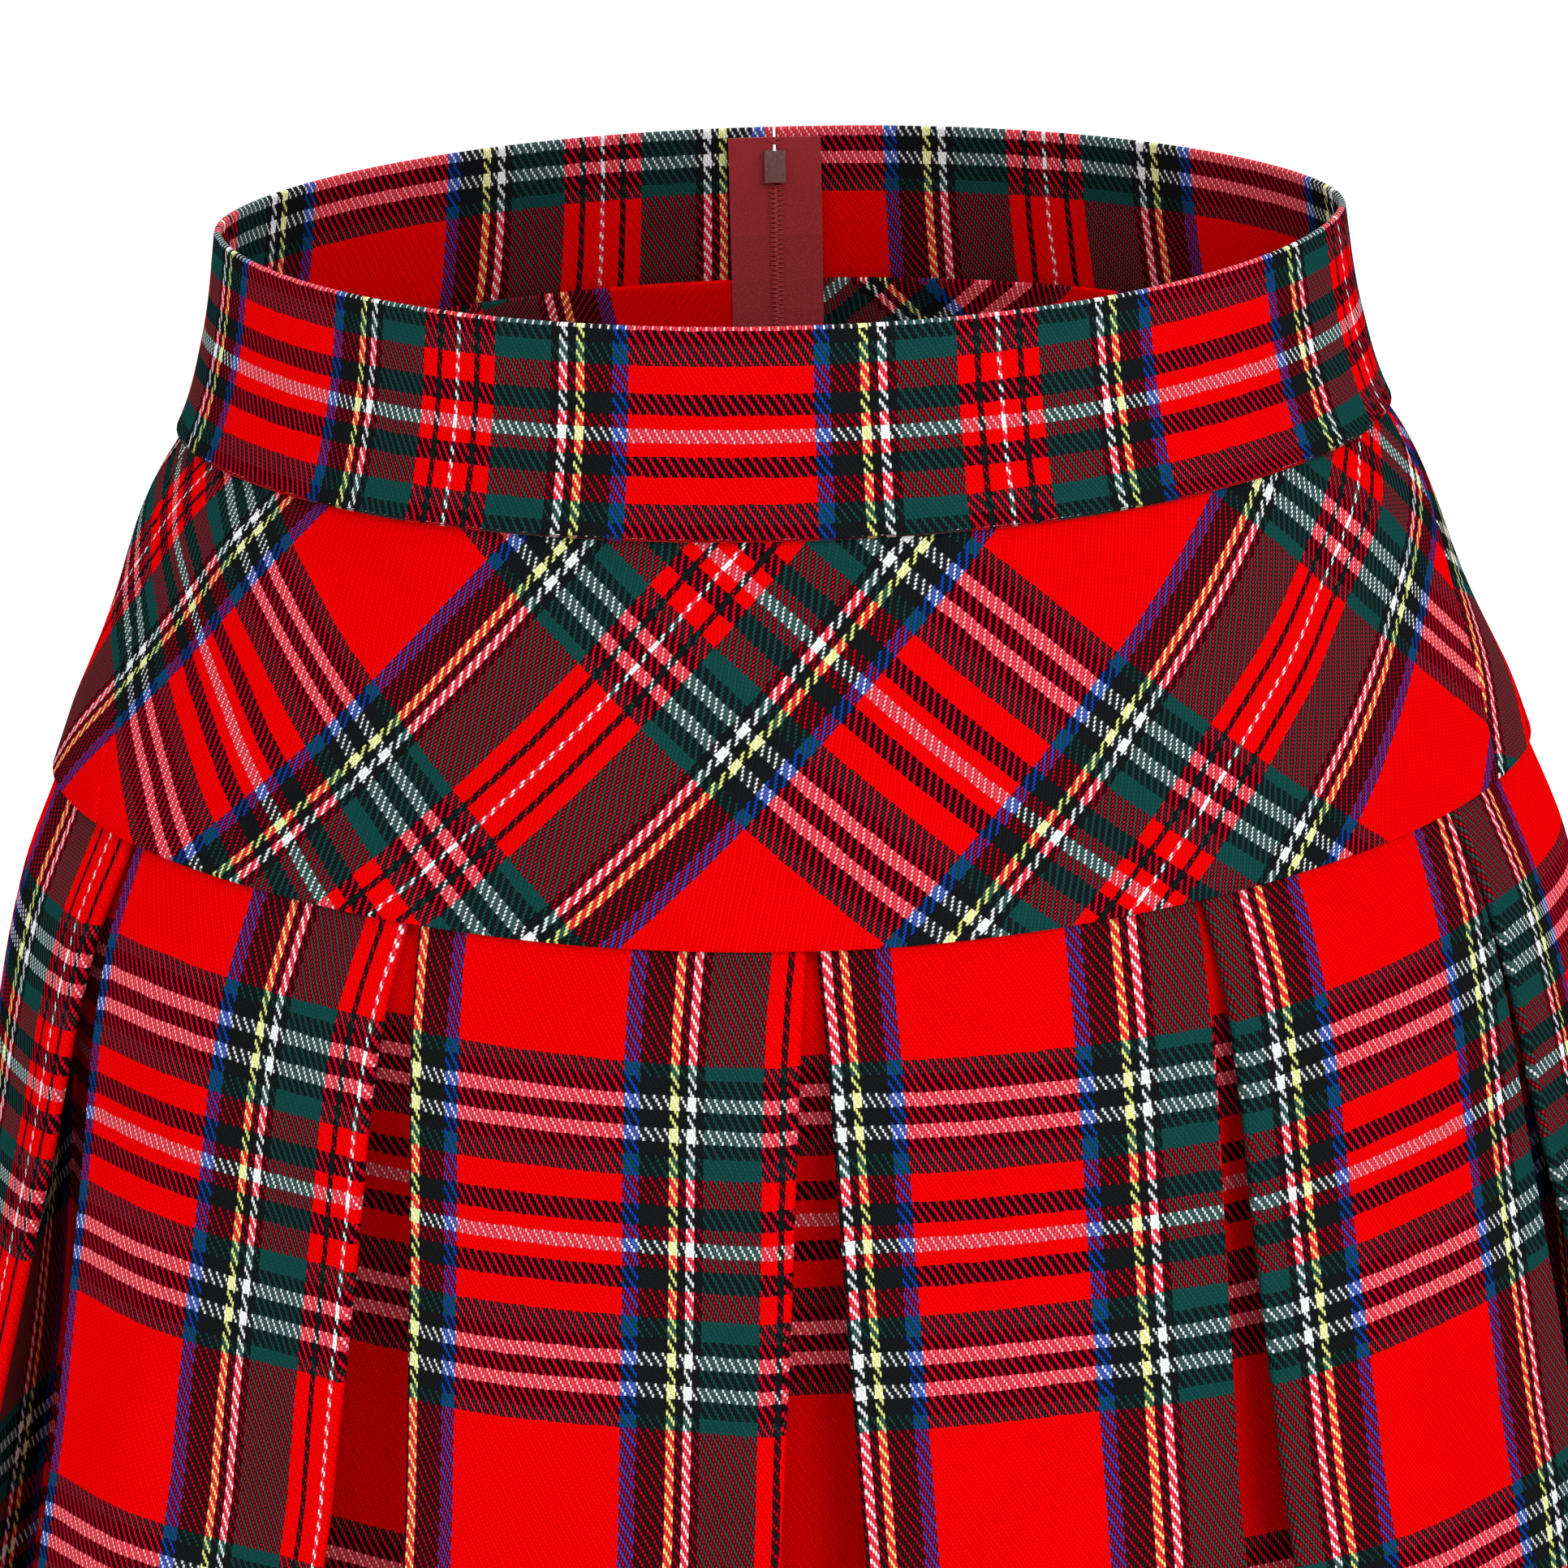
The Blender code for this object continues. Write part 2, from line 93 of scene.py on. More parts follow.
# Cloth, in yarns. A half sett runs from the middle of the wide red to the white pivot.
END = 0.000494
PICK = 0.00079
SKIRT_PICK = 0.000817
WARP_SETT = (
    ("red", 41), ("blue", 7), ("black", 13), ("yellow", 4), ("black", 4), ("white", 4),
    ("black", 4), ("green", 28), ("red", 8), ("black", 3), ("red", 8), ("white", 1),
)
WEFT_SETT = (
    ("red", 27), ("green", 4), ("black", 5), ("white", 4), ("black", 5), ("white", 4),
    ("black", 4), ("green", 6), ("red", 8), ("black", 6), ("red", 4), ("white", 2),
)
WARP_HALF = sum(count for _, count in WARP_SETT)
WEFT_HALF = sum(count for _, count in WEFT_SETT)
YARNS = {
    "red": (0.755, 0.0005, 0.0013),
    "blue": (0.005, 0.045, 0.330),
    "black": (0.0072, 0.0082, 0.0090),
    "yellow": (0.750, 0.795, 0.235),
    "white": (0.800, 0.835, 0.835),
    "green": (0.0060, 0.052, 0.048),
}

# Where the tartan falls. Round the waistband: place in metres, half setts from a wide red's middle
BAND_LINES = (
    (-0.2531, -4), (-0.1301, -2), (-0.0759, -1), (-0.0149, 0),
    (0.0471, 1), (0.1048, 2), (0.2278, 4),
)
# Across each panel of the skirt: millimetres from its -X edge, or back from its +X edge, and ends
# from the middle of its wide red
PANEL_LINES = {
    -5: ((0, -82), (40.5, 0), (88, 96)),
    -4: ((0, -78), (38.5, 0), (88, 100)),
    -3: ((-88.5, -45), (-44, 45), (-31, 63), (-26, 71), (-6, 125), (0, 139)),
    -2: ((0, -47), (2.3, -41), (38.3, 41), (50.3, 63), (54.2, 71), (78.4, 125), (79.8, 128)),
    -1: ((0, -64), (0.5, -63), (10.6, -41), (49.3, 41), (61, 63), (64.9, 71), (86.8, 117)),
    0: ((0, -72), (0.5, -71), (15.1, -41), (55.4, 41), (71.6, 71), (87.5, 103)),
    1: ((0, -88), (8.5, -71), (23.8, -41), (60, 41), (73.5, 71), (87, 101)),
    2: ((0, -98), (12, -71), (15, -63), (20.5, -44), (42, 0), (90, 97)),
    3: ((0, -85), (42, 0), (88, 93)),
    4: ((0, -80), (39.5, 0), (88, 98)),
}
# Ends from the middle of the wide red to the middle of each pleat's underlay
UNDERLAY_AT = {-4: 8, -3: 4, -2: 38, -1: 5, 0: 3, 1: 5, 2: 10, 3: 6, 4: 4}
# How far the weft sags at a panel's two edges, millimetres
PANEL_SAG = {
    -3: (-3.0, -2.5), -2: (-4.5, -2.5), -1: (-1.2, 1.6),
    0: (0.2, 3.6), 1: (4.0, -0.6), 2: (-1.5, -2.0),
}
SKIRT_WHITE_AT = -0.1786
PLEAT_ENDS = 500

# Each pleat, at PLAN_HEAD and PLAN_RUN lower: its part of an even share of the skirt's spare width,
# and how far it lies off its even place towards +X
PLAN_HEAD = -0.12
PLAN_RUN = 0.13
PLEAT_SHARE = {
    -4: (1.10, 1.10), -3: (1.05, 1.15), -2: (0.58, 1.15), -1: (0.92, 0.80), 0: (0.68, 0.82),
    1: (0.43, 0.45), 2: (0.06, 0.60), 3: (1.05, 1.20), 4: (1.10, 1.10), 5: (1.02, 1.02),
}
PLEAT_SHIFT = {
    -4: (0.002, 0.002), -3: (0.007, 0.008), -2: (0.0128, 0.0168), -1: (0.0028, 0.0076),
    0: (0.0022, 0.0014), 1: (0.0003, -0.0075), 2: (-0.0155, -0.0198), 3: (-0.007, -0.009),
    4: (-0.002, -0.002), 5: (0.0, 0.0),
}

# Waves of the cloth, each: waves round, waves a metre down, size in mm, phase.
# The soft unevenness shared by every piece
SWELL = ((5, 3.0, 0.16, 0.4), (9, -5.0, 0.13, 2.1), (14, 7.0, 0.10, 4.0), (23, 4.0, 0.05, 1.2))
BAND_CALM = 0.35
CALM_RUN = 0.03
# Soft creases of the yoke between its two seams
YOKE_DRAPE = (
    (13, 9.0, 0.42, 0.4), (22, -15.0, 0.30, 2.1), (8, 24.0, 0.34, 4.0), (37, 6.0, 0.12, 1.2),
)
# Soft creases of the pleated cloth, from DRAPE_HEAD below the yoke and growing over DRAPE_RUN
DRAPE = (
    (10, 0.6, 0.9, 1.0), (7, 1.4, 0.8, 3.3), (13, -1.7, 0.6, 5.2), (21, 2.2, 0.35, 0.7),
    (33, 3.1, 0.2, 2.6),
)
DRAPE_HEAD = 0.01
DRAPE_RUN = 0.16


def section_at(height):
    """The section table read at a height, along smooth curves through its rows."""
    table = np.array(SECTIONS)[::-1]
    heights = table[:, 0]
    slopes = np.gradient(table, heights, axis=0)
    row = int(np.clip(np.searchsorted(heights, height) - 1, 0, len(heights) - 2))
    step = heights[row + 1] - heights[row]
    t = (height - heights[row]) / step
    value = (
        (1 + 2 * t) * (1 - t) ** 2 * table[row]
        + t * (1 - t) ** 2 * step * slopes[row]
        + t * t * (3 - 2 * t) * table[row + 1]
        + t * t * (t - 1) * step * slopes[row + 1]
    )
    return dict(zip(COLUMNS, value))


def eased(t):
    """0 to 1 with a soft start and a soft end."""
    t = np.clip(t, 0.0, 1.0)
    return t * t * (3 - 2 * t)


def through(table, x):
    """A smooth line through the rows of a two-column table, straight beyond its ends."""
    places, values = np.array(table, float).T
    slopes = np.gradient(values, places)
    row = np.clip(np.searchsorted(places, x) - 1, 0, len(places) - 2)
    step = places[row + 1] - places[row]
    t = np.clip((x - places[row]) / step, 0.0, 1.0)
    inside = (
        (1 + 2 * t) * (1 - t) ** 2 * values[row]
        + t * (1 - t) ** 2 * step * slopes[row]
        + t * t * (3 - 2 * t) * values[row + 1]
        + t * t * (t - 1) * step * slopes[row + 1]
    )
    before, after = np.minimum(x - places[0], 0.0), np.maximum(x - places[-1], 0.0)
    return inside + before * slopes[0] + after * slopes[-1]


def waves(table, part, height):
    """The sum of a table's waves, in metres, at parts of the round and a height."""
    total = np.zeros(np.shape(part))
    for around, down, size, phase in table:
        total = total + size * 0.001 * np.sin(2 * math.pi * (around * part + down * height) + phase)
    return total


class Ring:
    """One level section, whose front dips towards its middle by the section's dip.

    s runs round it from the front centre, positive towards +X."""

    def __init__(self, height, out=0.0):
        sec = section_at(height)
        self.height = height
        turn = np.linspace(-math.pi, math.pi, RING_POINTS, endpoint=False)
        across = np.sin(turn)
        along = -np.cos(turn)
        depth = np.where(along < 0, sec["front"], sec["back"])
        x = sec["half_width"] * np.sign(across) * np.abs(across) ** (2 / sec["x_round"])
        y = depth * np.sign(along) * np.abs(along) ** (2 / sec["y_round"])
        for _ in range(EVENINGS):
            x, y = self.evened(x, y)
        wave = np.fft.fft(x + 1j * y)
        harmonic = np.abs(np.fft.fftfreq(RING_POINTS, 1 / RING_POINTS))
        wave = np.fft.ifft(wave * np.exp(-((harmonic / SMOOTH_HARMONIC) ** 2)))
        x, y = wave.real, wave.imag
        ahead = np.stack([np.roll(x, -1) - np.roll(x, 1), np.roll(y, -1) - np.roll(y, 1)], 1)
        ahead /= np.linalg.norm(ahead, axis=1)[:, None]
        self.normal = np.stack([ahead[:, 1], -ahead[:, 0]], 1)
        front = np.clip(-y / sec["front"], 0, None) ** 2
        x = x + out * self.normal[:, 0]
        y = y + out * self.normal[:, 1]
        self.points = np.stack([x, y + sec["middle"], height - sec["dip"] * front], 1)
        step = np.hypot(np.roll(x, -1) - x, np.roll(y, -1) - y)
        start = np.concatenate([[0.0], np.cumsum(step)])
        self.round = start[-1]
        self.s = start - start[RING_POINTS // 2]
        self.points = np.vstack([self.points, self.points[:1]])
        self.normal = np.vstack([self.normal, self.normal[:1]])

    @staticmethod
    def evened(x, y):
        """The same closed curve with its points evenly spaced, the front centre kept."""
        x = np.append(x, x[0])
        y = np.append(y, y[0])
        run = np.concatenate([[0.0], np.cumsum(np.hypot(np.diff(x), np.diff(y)))])
        even = np.linspace(0, run[-1], RING_POINTS, endpoint=False)
        return np.interp(even, run, x), np.interp(even, run, y)

    def normals(self, s):
        s = (np.asarray(s, float) - self.s[0]) % self.round + self.s[0]
        out = np.stack([np.interp(s, self.s, self.normal[:, i]) for i in (0, 1)], -1)
        out /= np.linalg.norm(out, axis=-1, keepdims=True)
        return np.concatenate([out, np.zeros(out.shape[:-1] + (1,))], -1)

    def place(self, s, out=0.0):
        """Points at s round the section, moved out from it, with the cloth's unevenness."""
        s = np.asarray(s, float)
        normal = self.normals(s)
        part = s / self.round
        wrapped = (s - self.s[0]) % self.round + self.s[0]
        point = np.stack([np.interp(wrapped, self.s, self.points[:, i]) for i in range(3)], -1)
        calm = BAND_CALM + (1 - BAND_CALM) * eased((BAND_FOOT - self.height) / CALM_RUN)
        return point + (out + calm * waves(SWELL, part, self.height))[..., None] * normal

    def bend(self, s, reach=0.036):
        """Mean curvature over the cloth within reach of s."""
        before, after = self.normals(s - reach), self.normals(s + reach)
        cross = before[..., 0] * after[..., 1] - before[..., 1] * after[..., 0]
        return np.arctan2(cross, (before * after).sum(-1)) / (2 * reach)


# Cloth shells

RIM = (math.pi / 4, math.pi / 2, 3 * math.pi / 4)


def unit(vectors):
    return vectors / np.maximum(np.linalg.norm(vectors, axis=-1, keepdims=True), 1e-12)


def grid_normals(points):
    """Outward unit normals of a grid whose rows run down and whose columns run to +s."""
    return unit(np.cross(np.gradient(points, axis=0), np.gradient(points, axis=1)))


def finish_mesh(name, verts, faces, uvs, material, sharp=50):
    mesh = bpy.data.meshes.new(name)
    mesh.from_pydata(verts.tolist(), [], faces)
    if uvs is not None:
        layer = mesh.uv_layers.new(name="cloth")
        corner = np.empty(len(mesh.loops), np.int32)
        mesh.loops.foreach_get("vertex_index", corner)
        layer.data.foreach_set("uv", uvs[corner].astype(np.float32).ravel())
    mesh.polygons.foreach_set("use_smooth", np.ones(len(mesh.polygons), bool))
    mesh.set_sharp_from_angle(angle=math.radians(sharp))
    mesh.materials.append(material)
    mesh.update()
    obj = bpy.data.objects.new(name, mesh)
    bpy.context.scene.collection.objects.link(obj)
    return obj


def shell(name, points, face_uv, back_uv, thick, material):
    """A closed cloth wall round a grid of mid points, with its head and foot rounded over."""
    normal = grid_normals(points)
    half = np.broadcast_to(thick, points.shape[:1])[:, None, None] / 2
    outer, inner = points + normal * half, points - normal * half
    down, up = unit(points[-1] - points[-2]), unit(points[0] - points[1])
    foot = [points[-1] + half[-1] * (math.cos(a) * normal[-1] + math.sin(a) * down) for a in RIM]
    head = [points[0] + half[0] * (-math.cos(a) * normal[0] + math.sin(a) * up) for a in RIM]
    blend = [(i + 1) / (len(RIM) + 1) for i in range(len(RIM))]
    foot_uv = [(1 - t) * face_uv[-1] + t * back_uv[-1] for t in blend]
    head_uv = [(1 - t) * back_uv[0] + t * face_uv[0] for t in blend]
    loop = np.concatenate([outer, np.array(foot), inner[::-1], np.array(head)])
    uvs = np.concatenate([face_uv, np.array(foot_uv), back_uv[::-1], np.array(head_uv)])
    count, columns = loop.shape[:2]
    rows, rim = len(points), len(RIM)
    at = np.arange(count * columns).reshape(count, columns)
    below = np.roll(at, -1, axis=0)
    quads = np.stack([at[:, :-1], below[:, :-1], below[:, 1:], at[:, 1:]], -1).reshape(-1, 4)
    faces = quads.tolist()
    for column, turn in ((0, 1), (columns - 1, -1)):
        out = at[:rows, column]
        back = at[rows + rim : 2 * rows + rim, column][::-1]
        side = [[out[r], back[r], back[r + 1], out[r + 1]] for r in range(rows - 1)]
        side.append([out[-1], back[-1]] + list(at[rows : rows + rim, column][::-1]))
        side.append(list(at[2 * rows + rim :, column][::-1]) + [back[0], out[0]])
        faces += [[int(v) for v in face[::turn]] for face in side]
    return finish_mesh(name, loop.reshape(-1, 3), faces, uvs.reshape(-1, 2), material)


# An edge that turns in at a seam: distance from the edge, and part of the tuck
SEAM_TURN = ((0.0000, 1.0), (0.0002, 0.55), (0.0006, 0.2), (0.0013, 0.0))
SEAM_REACH = 0.003


def edge_stops(start, end, count, tuck_start, tuck_end):
    """Stops from start to end, and how far each turns in. A tucked edge turns in at a seam."""
    inside = np.linspace(start + SEAM_REACH, end - SEAM_REACH, count)
    left = [(start + a, -tuck_start * b) for a, b in SEAM_TURN]
    right = [(end - a, -tuck_end * b) for a, b in reversed(SEAM_TURN)]
    every = left + [(s, 0.0) for s in inside] + right
    return np.array(every).T


# Yoke and waistband

BAND_LEVELS = 22
BAND_STOPS = 190
BAND_TUCK = 0.00012
YOKE_LEVELS = 34
YOKE_EDGE = 0.003
YOKE_STEP = 0.0035
SEAM_TUCK = 0.0006
ZIP_TUCK = 0.0001
# The creases fade in below the band and out above the yoke's foot, and are deeper at the sides
CREASE_HEAD_RUN = 0.014
CREASE_FOOT_RUN = 0.020
CREASE_FRONT = 0.35
CREASE_SIDE = 1.3
# The left side seam lies a little further back than the right one
LEFT_SEAM_BACK = 0.005


def side_seam(side, ring):
    """s of a side seam, which comes forward down the yoke."""
    fall = (YOKE_HEAD - ring.height) / (YOKE_HEAD - YOKE_FOOT)
    part = SIDE_SEAM_HEAD + fall * (SIDE_SEAM_FOOT - SIDE_SEAM_HEAD)
    return side * part * ring.round / 2 + (LEFT_SEAM_BACK if side > 0 else 0.0)


# The yoke is cut on the bias as a shallow sector. x and y are millimetres on the flat cloth, from
# the front centre FLAT_DOWN below the band's middle, and U and V count ends and picks there.
FLAT_DOWN = 0.065
SLANT_FOOT = -0.1125
SLANT_AT = np.linspace(YOKE_HEAD, SLANT_FOOT, 60)
SLANT_ROUND = np.array([Ring(height).round for height in SLANT_AT])
SLANT_STEP = np.hypot(np.diff(SLANT_AT), np.diff(SLANT_ROUND) / (2 * math.pi))
SLANT = np.concatenate([[0.0], np.cumsum(SLANT_STEP)])
SECTOR = (SLANT_ROUND[-1] - SLANT_ROUND[0]) / SLANT[-1]
FLAT_ROUND = float(np.interp(FLAT_DOWN, -SLANT_AT, SLANT_ROUND)) * 1000
BIAS_TURN = 0.39
BIAS_U = (1.463, -1.378, 197.75)
BIAS_V = (0.865, 0.936, 214.37)
EASE_U = (36.4, -11.6, 2.02, 39.8, -26.7, -3.80)
EASE_V = (-34.9, -2.1, 0.53, 14.9, -10.1, -8.48)
EASE_REACH = (250, 50)
# The left back yoke is cut apart from the front, so the pattern starts anew: a part of the round
LEFT_BACK_TURN = 0.516


def bias_uv(part, height, eased_on=True, seam=1.0):
    """Ends and picks at a place on the yoke.

    The ease keeps its value at the side seam for what lies beyond it."""
    turn = BIAS_TURN * SECTOR
    down = np.interp(-height, -SLANT_AT, SLANT) - np.interp(FLAT_DOWN, -SLANT_AT, SLANT)
    reach = FLAT_ROUND / turn + down * 1000
    x = reach * np.sin(turn * part)
    y = FLAT_ROUND / turn - reach * np.cos(turn * part)
    u = BIAS_U[0] * x + BIAS_U[1] * y + BIAS_U[2]
    v = BIAS_V[0] * x + BIAS_V[1] * y + BIAS_V[2]
    if eased_on:
        edge = abs(float(reach * np.sin(turn * seam)))
        a, b = np.clip(x, -edge, edge) / EASE_REACH[0], y / EASE_REACH[1]
        terms = (a * a, a * b, b * b, a**3, a * a * b, a * b * b)
        u = u + sum(k * t for k, t in zip(EASE_U, terms))
        v = v + sum(k * t for k, t in zip(EASE_V, terms))
    return np.stack([u, v], -1)


def make_waistband(material):
    heights = np.linspace(BAND_TOP - BAND_WALL / 2, BAND_FOOT + BAND_WALL / 2, BAND_LEVELS)
    middle_round = Ring(0.0).round
    points, face, back = [], [], []
    for height in heights:
        ring = Ring(height)
        edge = (ring.round - ZIP_SLIT) / 2
        stops, out = edge_stops(-edge, edge, BAND_STOPS, BAND_TUCK, BAND_TUCK)
        points.append(ring.place(stops, out + BAND_OUT))
        u = WARP_HALF * through(BAND_LINES, stops / ring.round * middle_round)
        face.append(np.stack([u, np.full(u.shape, WEFT_HALF + height / PICK)], -1))
        turned = WEFT_HALF + (BAND_TOP + (BAND_TOP - height)) / PICK
        back.append(np.stack([u, np.full(u.shape, turned)], -1))
    grids = np.array(points), np.array(face), np.array(back)
    piece = shell("waistband_cloth", *grids, BAND_WALL, material)
    dress(piece, "waistband")


def make_yoke(material):
    def seam(side, shift):
        return lambda ring: side_seam(side, ring) + shift * SEAM_GAP / 2

    def slit(side):
        return lambda ring: side * (ring.round - ZIP_SLIT) / 2

    pieces = (
        ("yoke_front", seam(-1, 1), seam(1, -1), SEAM_TUCK, SEAM_TUCK),
        ("yoke_back_left", seam(1, 1), slit(1), SEAM_TUCK, ZIP_TUCK),
        ("yoke_back_right", slit(-1), seam(-1, -1), ZIP_TUCK, SEAM_TUCK),
    )
    head, foot = YOKE_HEAD - CLOTH_WALL / 2, YOKE_FOOT + CLOTH_WALL / 2
    heights = np.concatenate([[head], np.linspace(YOKE_HEAD - YOKE_EDGE, foot, YOKE_LEVELS)])
    for name, start, end, tuck_start, tuck_end in pieces:
        points, uvs = [], []
        middle = Ring((YOKE_HEAD + YOKE_FOOT) / 2)
        count = int((end(middle) - start(middle)) / YOKE_STEP)
        for height in heights:
            ring = Ring(height)
            stops, out = edge_stops(start(ring), end(ring), count, tuck_start, tuck_end)
            part = stops / ring.round
            below_band = eased((BAND_FOOT - height) / CREASE_HEAD_RUN)
            free = float(below_band * eased((height - YOKE_FOOT) / CREASE_FOOT_RUN))
            deep = free * (CREASE_FRONT + CREASE_SIDE * np.abs(part))
            points.append(ring.place(stops, out + deep * waves(YOKE_DRAPE, part, height)))
            if name != "yoke_back_left":
                uvs.append(bias_uv(part, height, seam=float(side_seam(1, ring) / ring.round)))
            else:
                uvs.append(bias_uv(part - LEFT_BACK_TURN, height, eased_on=False))
        uvs = np.array(uvs)
        piece = shell(name + "_cloth", np.array(points), uvs, uvs, CLOTH_WALL, material)
        dress(piece, name)


# Pleated skirt

# Pleats are numbered from 0 at the front centre to CENTRE_BACK, which is also -CENTRE_BACK, and
# panel k lies between pleats k and k + 1
CENTRE_BACK = PLEATS // 2
PLEAT_NUMBERS = range(-CENTRE_BACK, CENTRE_BACK + 1)
PANEL_WIDTH = Ring(SKIRT_HEAD, -SKIRT_IN).round / PLEATS - CLOSED_GAP
FOLD_STEPS = 6
RETURN_STEPS = 7
UNDERLAY_STEPS = 10
PANEL_STEPS = 24
FOLD_PASSES = 40
BACK_SEAM = 0.00004
# The cloth is turned up HEM_TURN above the hem, where it is a little thicker
HEM_TURN = 0.0380
HEM_SWELL = 0.0003
# Levels under the yoke, down the pleats and in the hem: from, to, count
SKIRT_LEVELS = (
    (SKIRT_HEAD - CLOTH_WALL / 2, YOKE_FOOT - 0.004, 6),
    (YOKE_FOOT - 0.008, HEM + 0.040, 54),
    (HEM + 0.0372, HEM + CLOTH_WALL / 2, 12),
)


def skirt_out(height):
    """How far the panels lie off the section: inside the yoke at its foot, on it lower down."""
    return -SKIRT_IN * (1 - eased((YOKE_FOOT - height) / SKIRT_EASE))


def fold_angle(gap, depth, reach):
    """The slope of a pleat's return between its outer and its inner fold."""
    slope = 0.0
    for _ in range(FOLD_PASSES):
        rise = depth - 2 * FOLD_RADIUS * (1 + math.cos(slope))
        run = reach - gap / 2 - 2 * FOLD_RADIUS * (1 - math.sin(slope))
        slope = math.atan2(max(rise, 0.0), run)
    return slope


def pleat_half(gap, depth):
    """(across, outward) points of half a pleat, from a panel's edge to the underlay's middle."""
    reach = PLEAT_DEEP + CLOSED_GAP / 2
    slope = fold_angle(gap, depth, reach)
    r = FOLD_RADIUS
    steps = np.arange(FOLD_STEPS + 1) / FOLD_STEPS
    turn = math.pi / 2 - (math.pi - slope) * steps
    outer = np.stack([-gap / 2 - r + r * np.cos(turn), -r + r * np.sin(turn)], 1)
    turn = math.pi / 2 + slope + (math.pi - slope) * steps
    inner = np.stack([-reach + r + r * np.cos(turn), -depth + r + r * np.sin(turn)], 1)
    t = (np.arange(1, RETURN_STEPS) / RETURN_STEPS)[:, None]
    between = outer[-1] + (inner[0] - outer[-1]) * t
    half = UNDERLAY_STEPS // 2
    under = [(-(reach - r) * (1 - i / half), -depth) for i in range(1, half + 1)]
    return np.vstack([outer, between, inner, under])


def pleat_depth(gap, height):
    """How deep the underlay lies behind the panels. A pleat opens from the yoke's foot down."""
    closed = 4 * FOLD_RADIUS
    opened = math.sqrt(max(PLEAT_DEEP**2 - (PLEAT_DEEP - (gap - CLOSED_GAP) / 2) ** 2, 0.0))
    return closed + max(opened - closed, 0.0) * float(eased((YOKE_FOOT - height) / OPENING_RUN))


def pleat_plan(ring):
    """The middle and the gap of each pleat, the centre back one kept at the centre back."""
    spare = max(ring.round / PLEATS - PANEL_WIDTH - CLOSED_GAP, 0.0)
    low = float(np.clip((PLAN_HEAD - ring.height) / PLAN_RUN, 0.0, 1.0))
    middles, gaps = {}, {}
    for k in PLEAT_NUMBERS[1:]:
        above, below = PLEAT_SHARE[k]
        gaps[k] = CLOSED_GAP + spare * (above + (below - above) * low)
        above, below = PLEAT_SHIFT[k]
        middles[k] = k * ring.round / PLEATS + above + (below - above) * low
    middles[-CENTRE_BACK], gaps[-CENTRE_BACK] = -ring.round / 2, gaps[CENTRE_BACK]
    return middles, gaps


def pleat_part(s, middles):
    """Places round the skirt as parts of the round, each pleat at its even part."""
    return np.interp(s, [middles[k] for k in PLEAT_NUMBERS], PLEAT_NUMBERS) / PLEATS


def run_along(path):
    return np.concatenate([[0.0], np.cumsum(np.linalg.norm(np.diff(path, axis=0), axis=1))])


def panel_edges(middles, gaps, k):
    return middles[k] + gaps[k] / 2 + FOLD_RADIUS, middles[k + 1] - gaps[k + 1] / 2 - FOLD_RADIUS


def panel_ends(middles, gaps, k, s):
    """Ends at places across panel k, counted from the middle of panel 0's wide red."""
    start, end = panel_edges(middles, gaps, k)
    origin = start if PANEL_LINES[k][0][0] >= 0 else end
    return PLEAT_ENDS * k + through(PANEL_LINES[k], (s - origin) * 1000)


def edge_ends(middles, gaps, k, side):
    """Ends at panel k's edge at its -X side, 0, or its +X side, 1."""
    return panel_ends(middles, gaps, k, panel_edges(middles, gaps, k)[side])


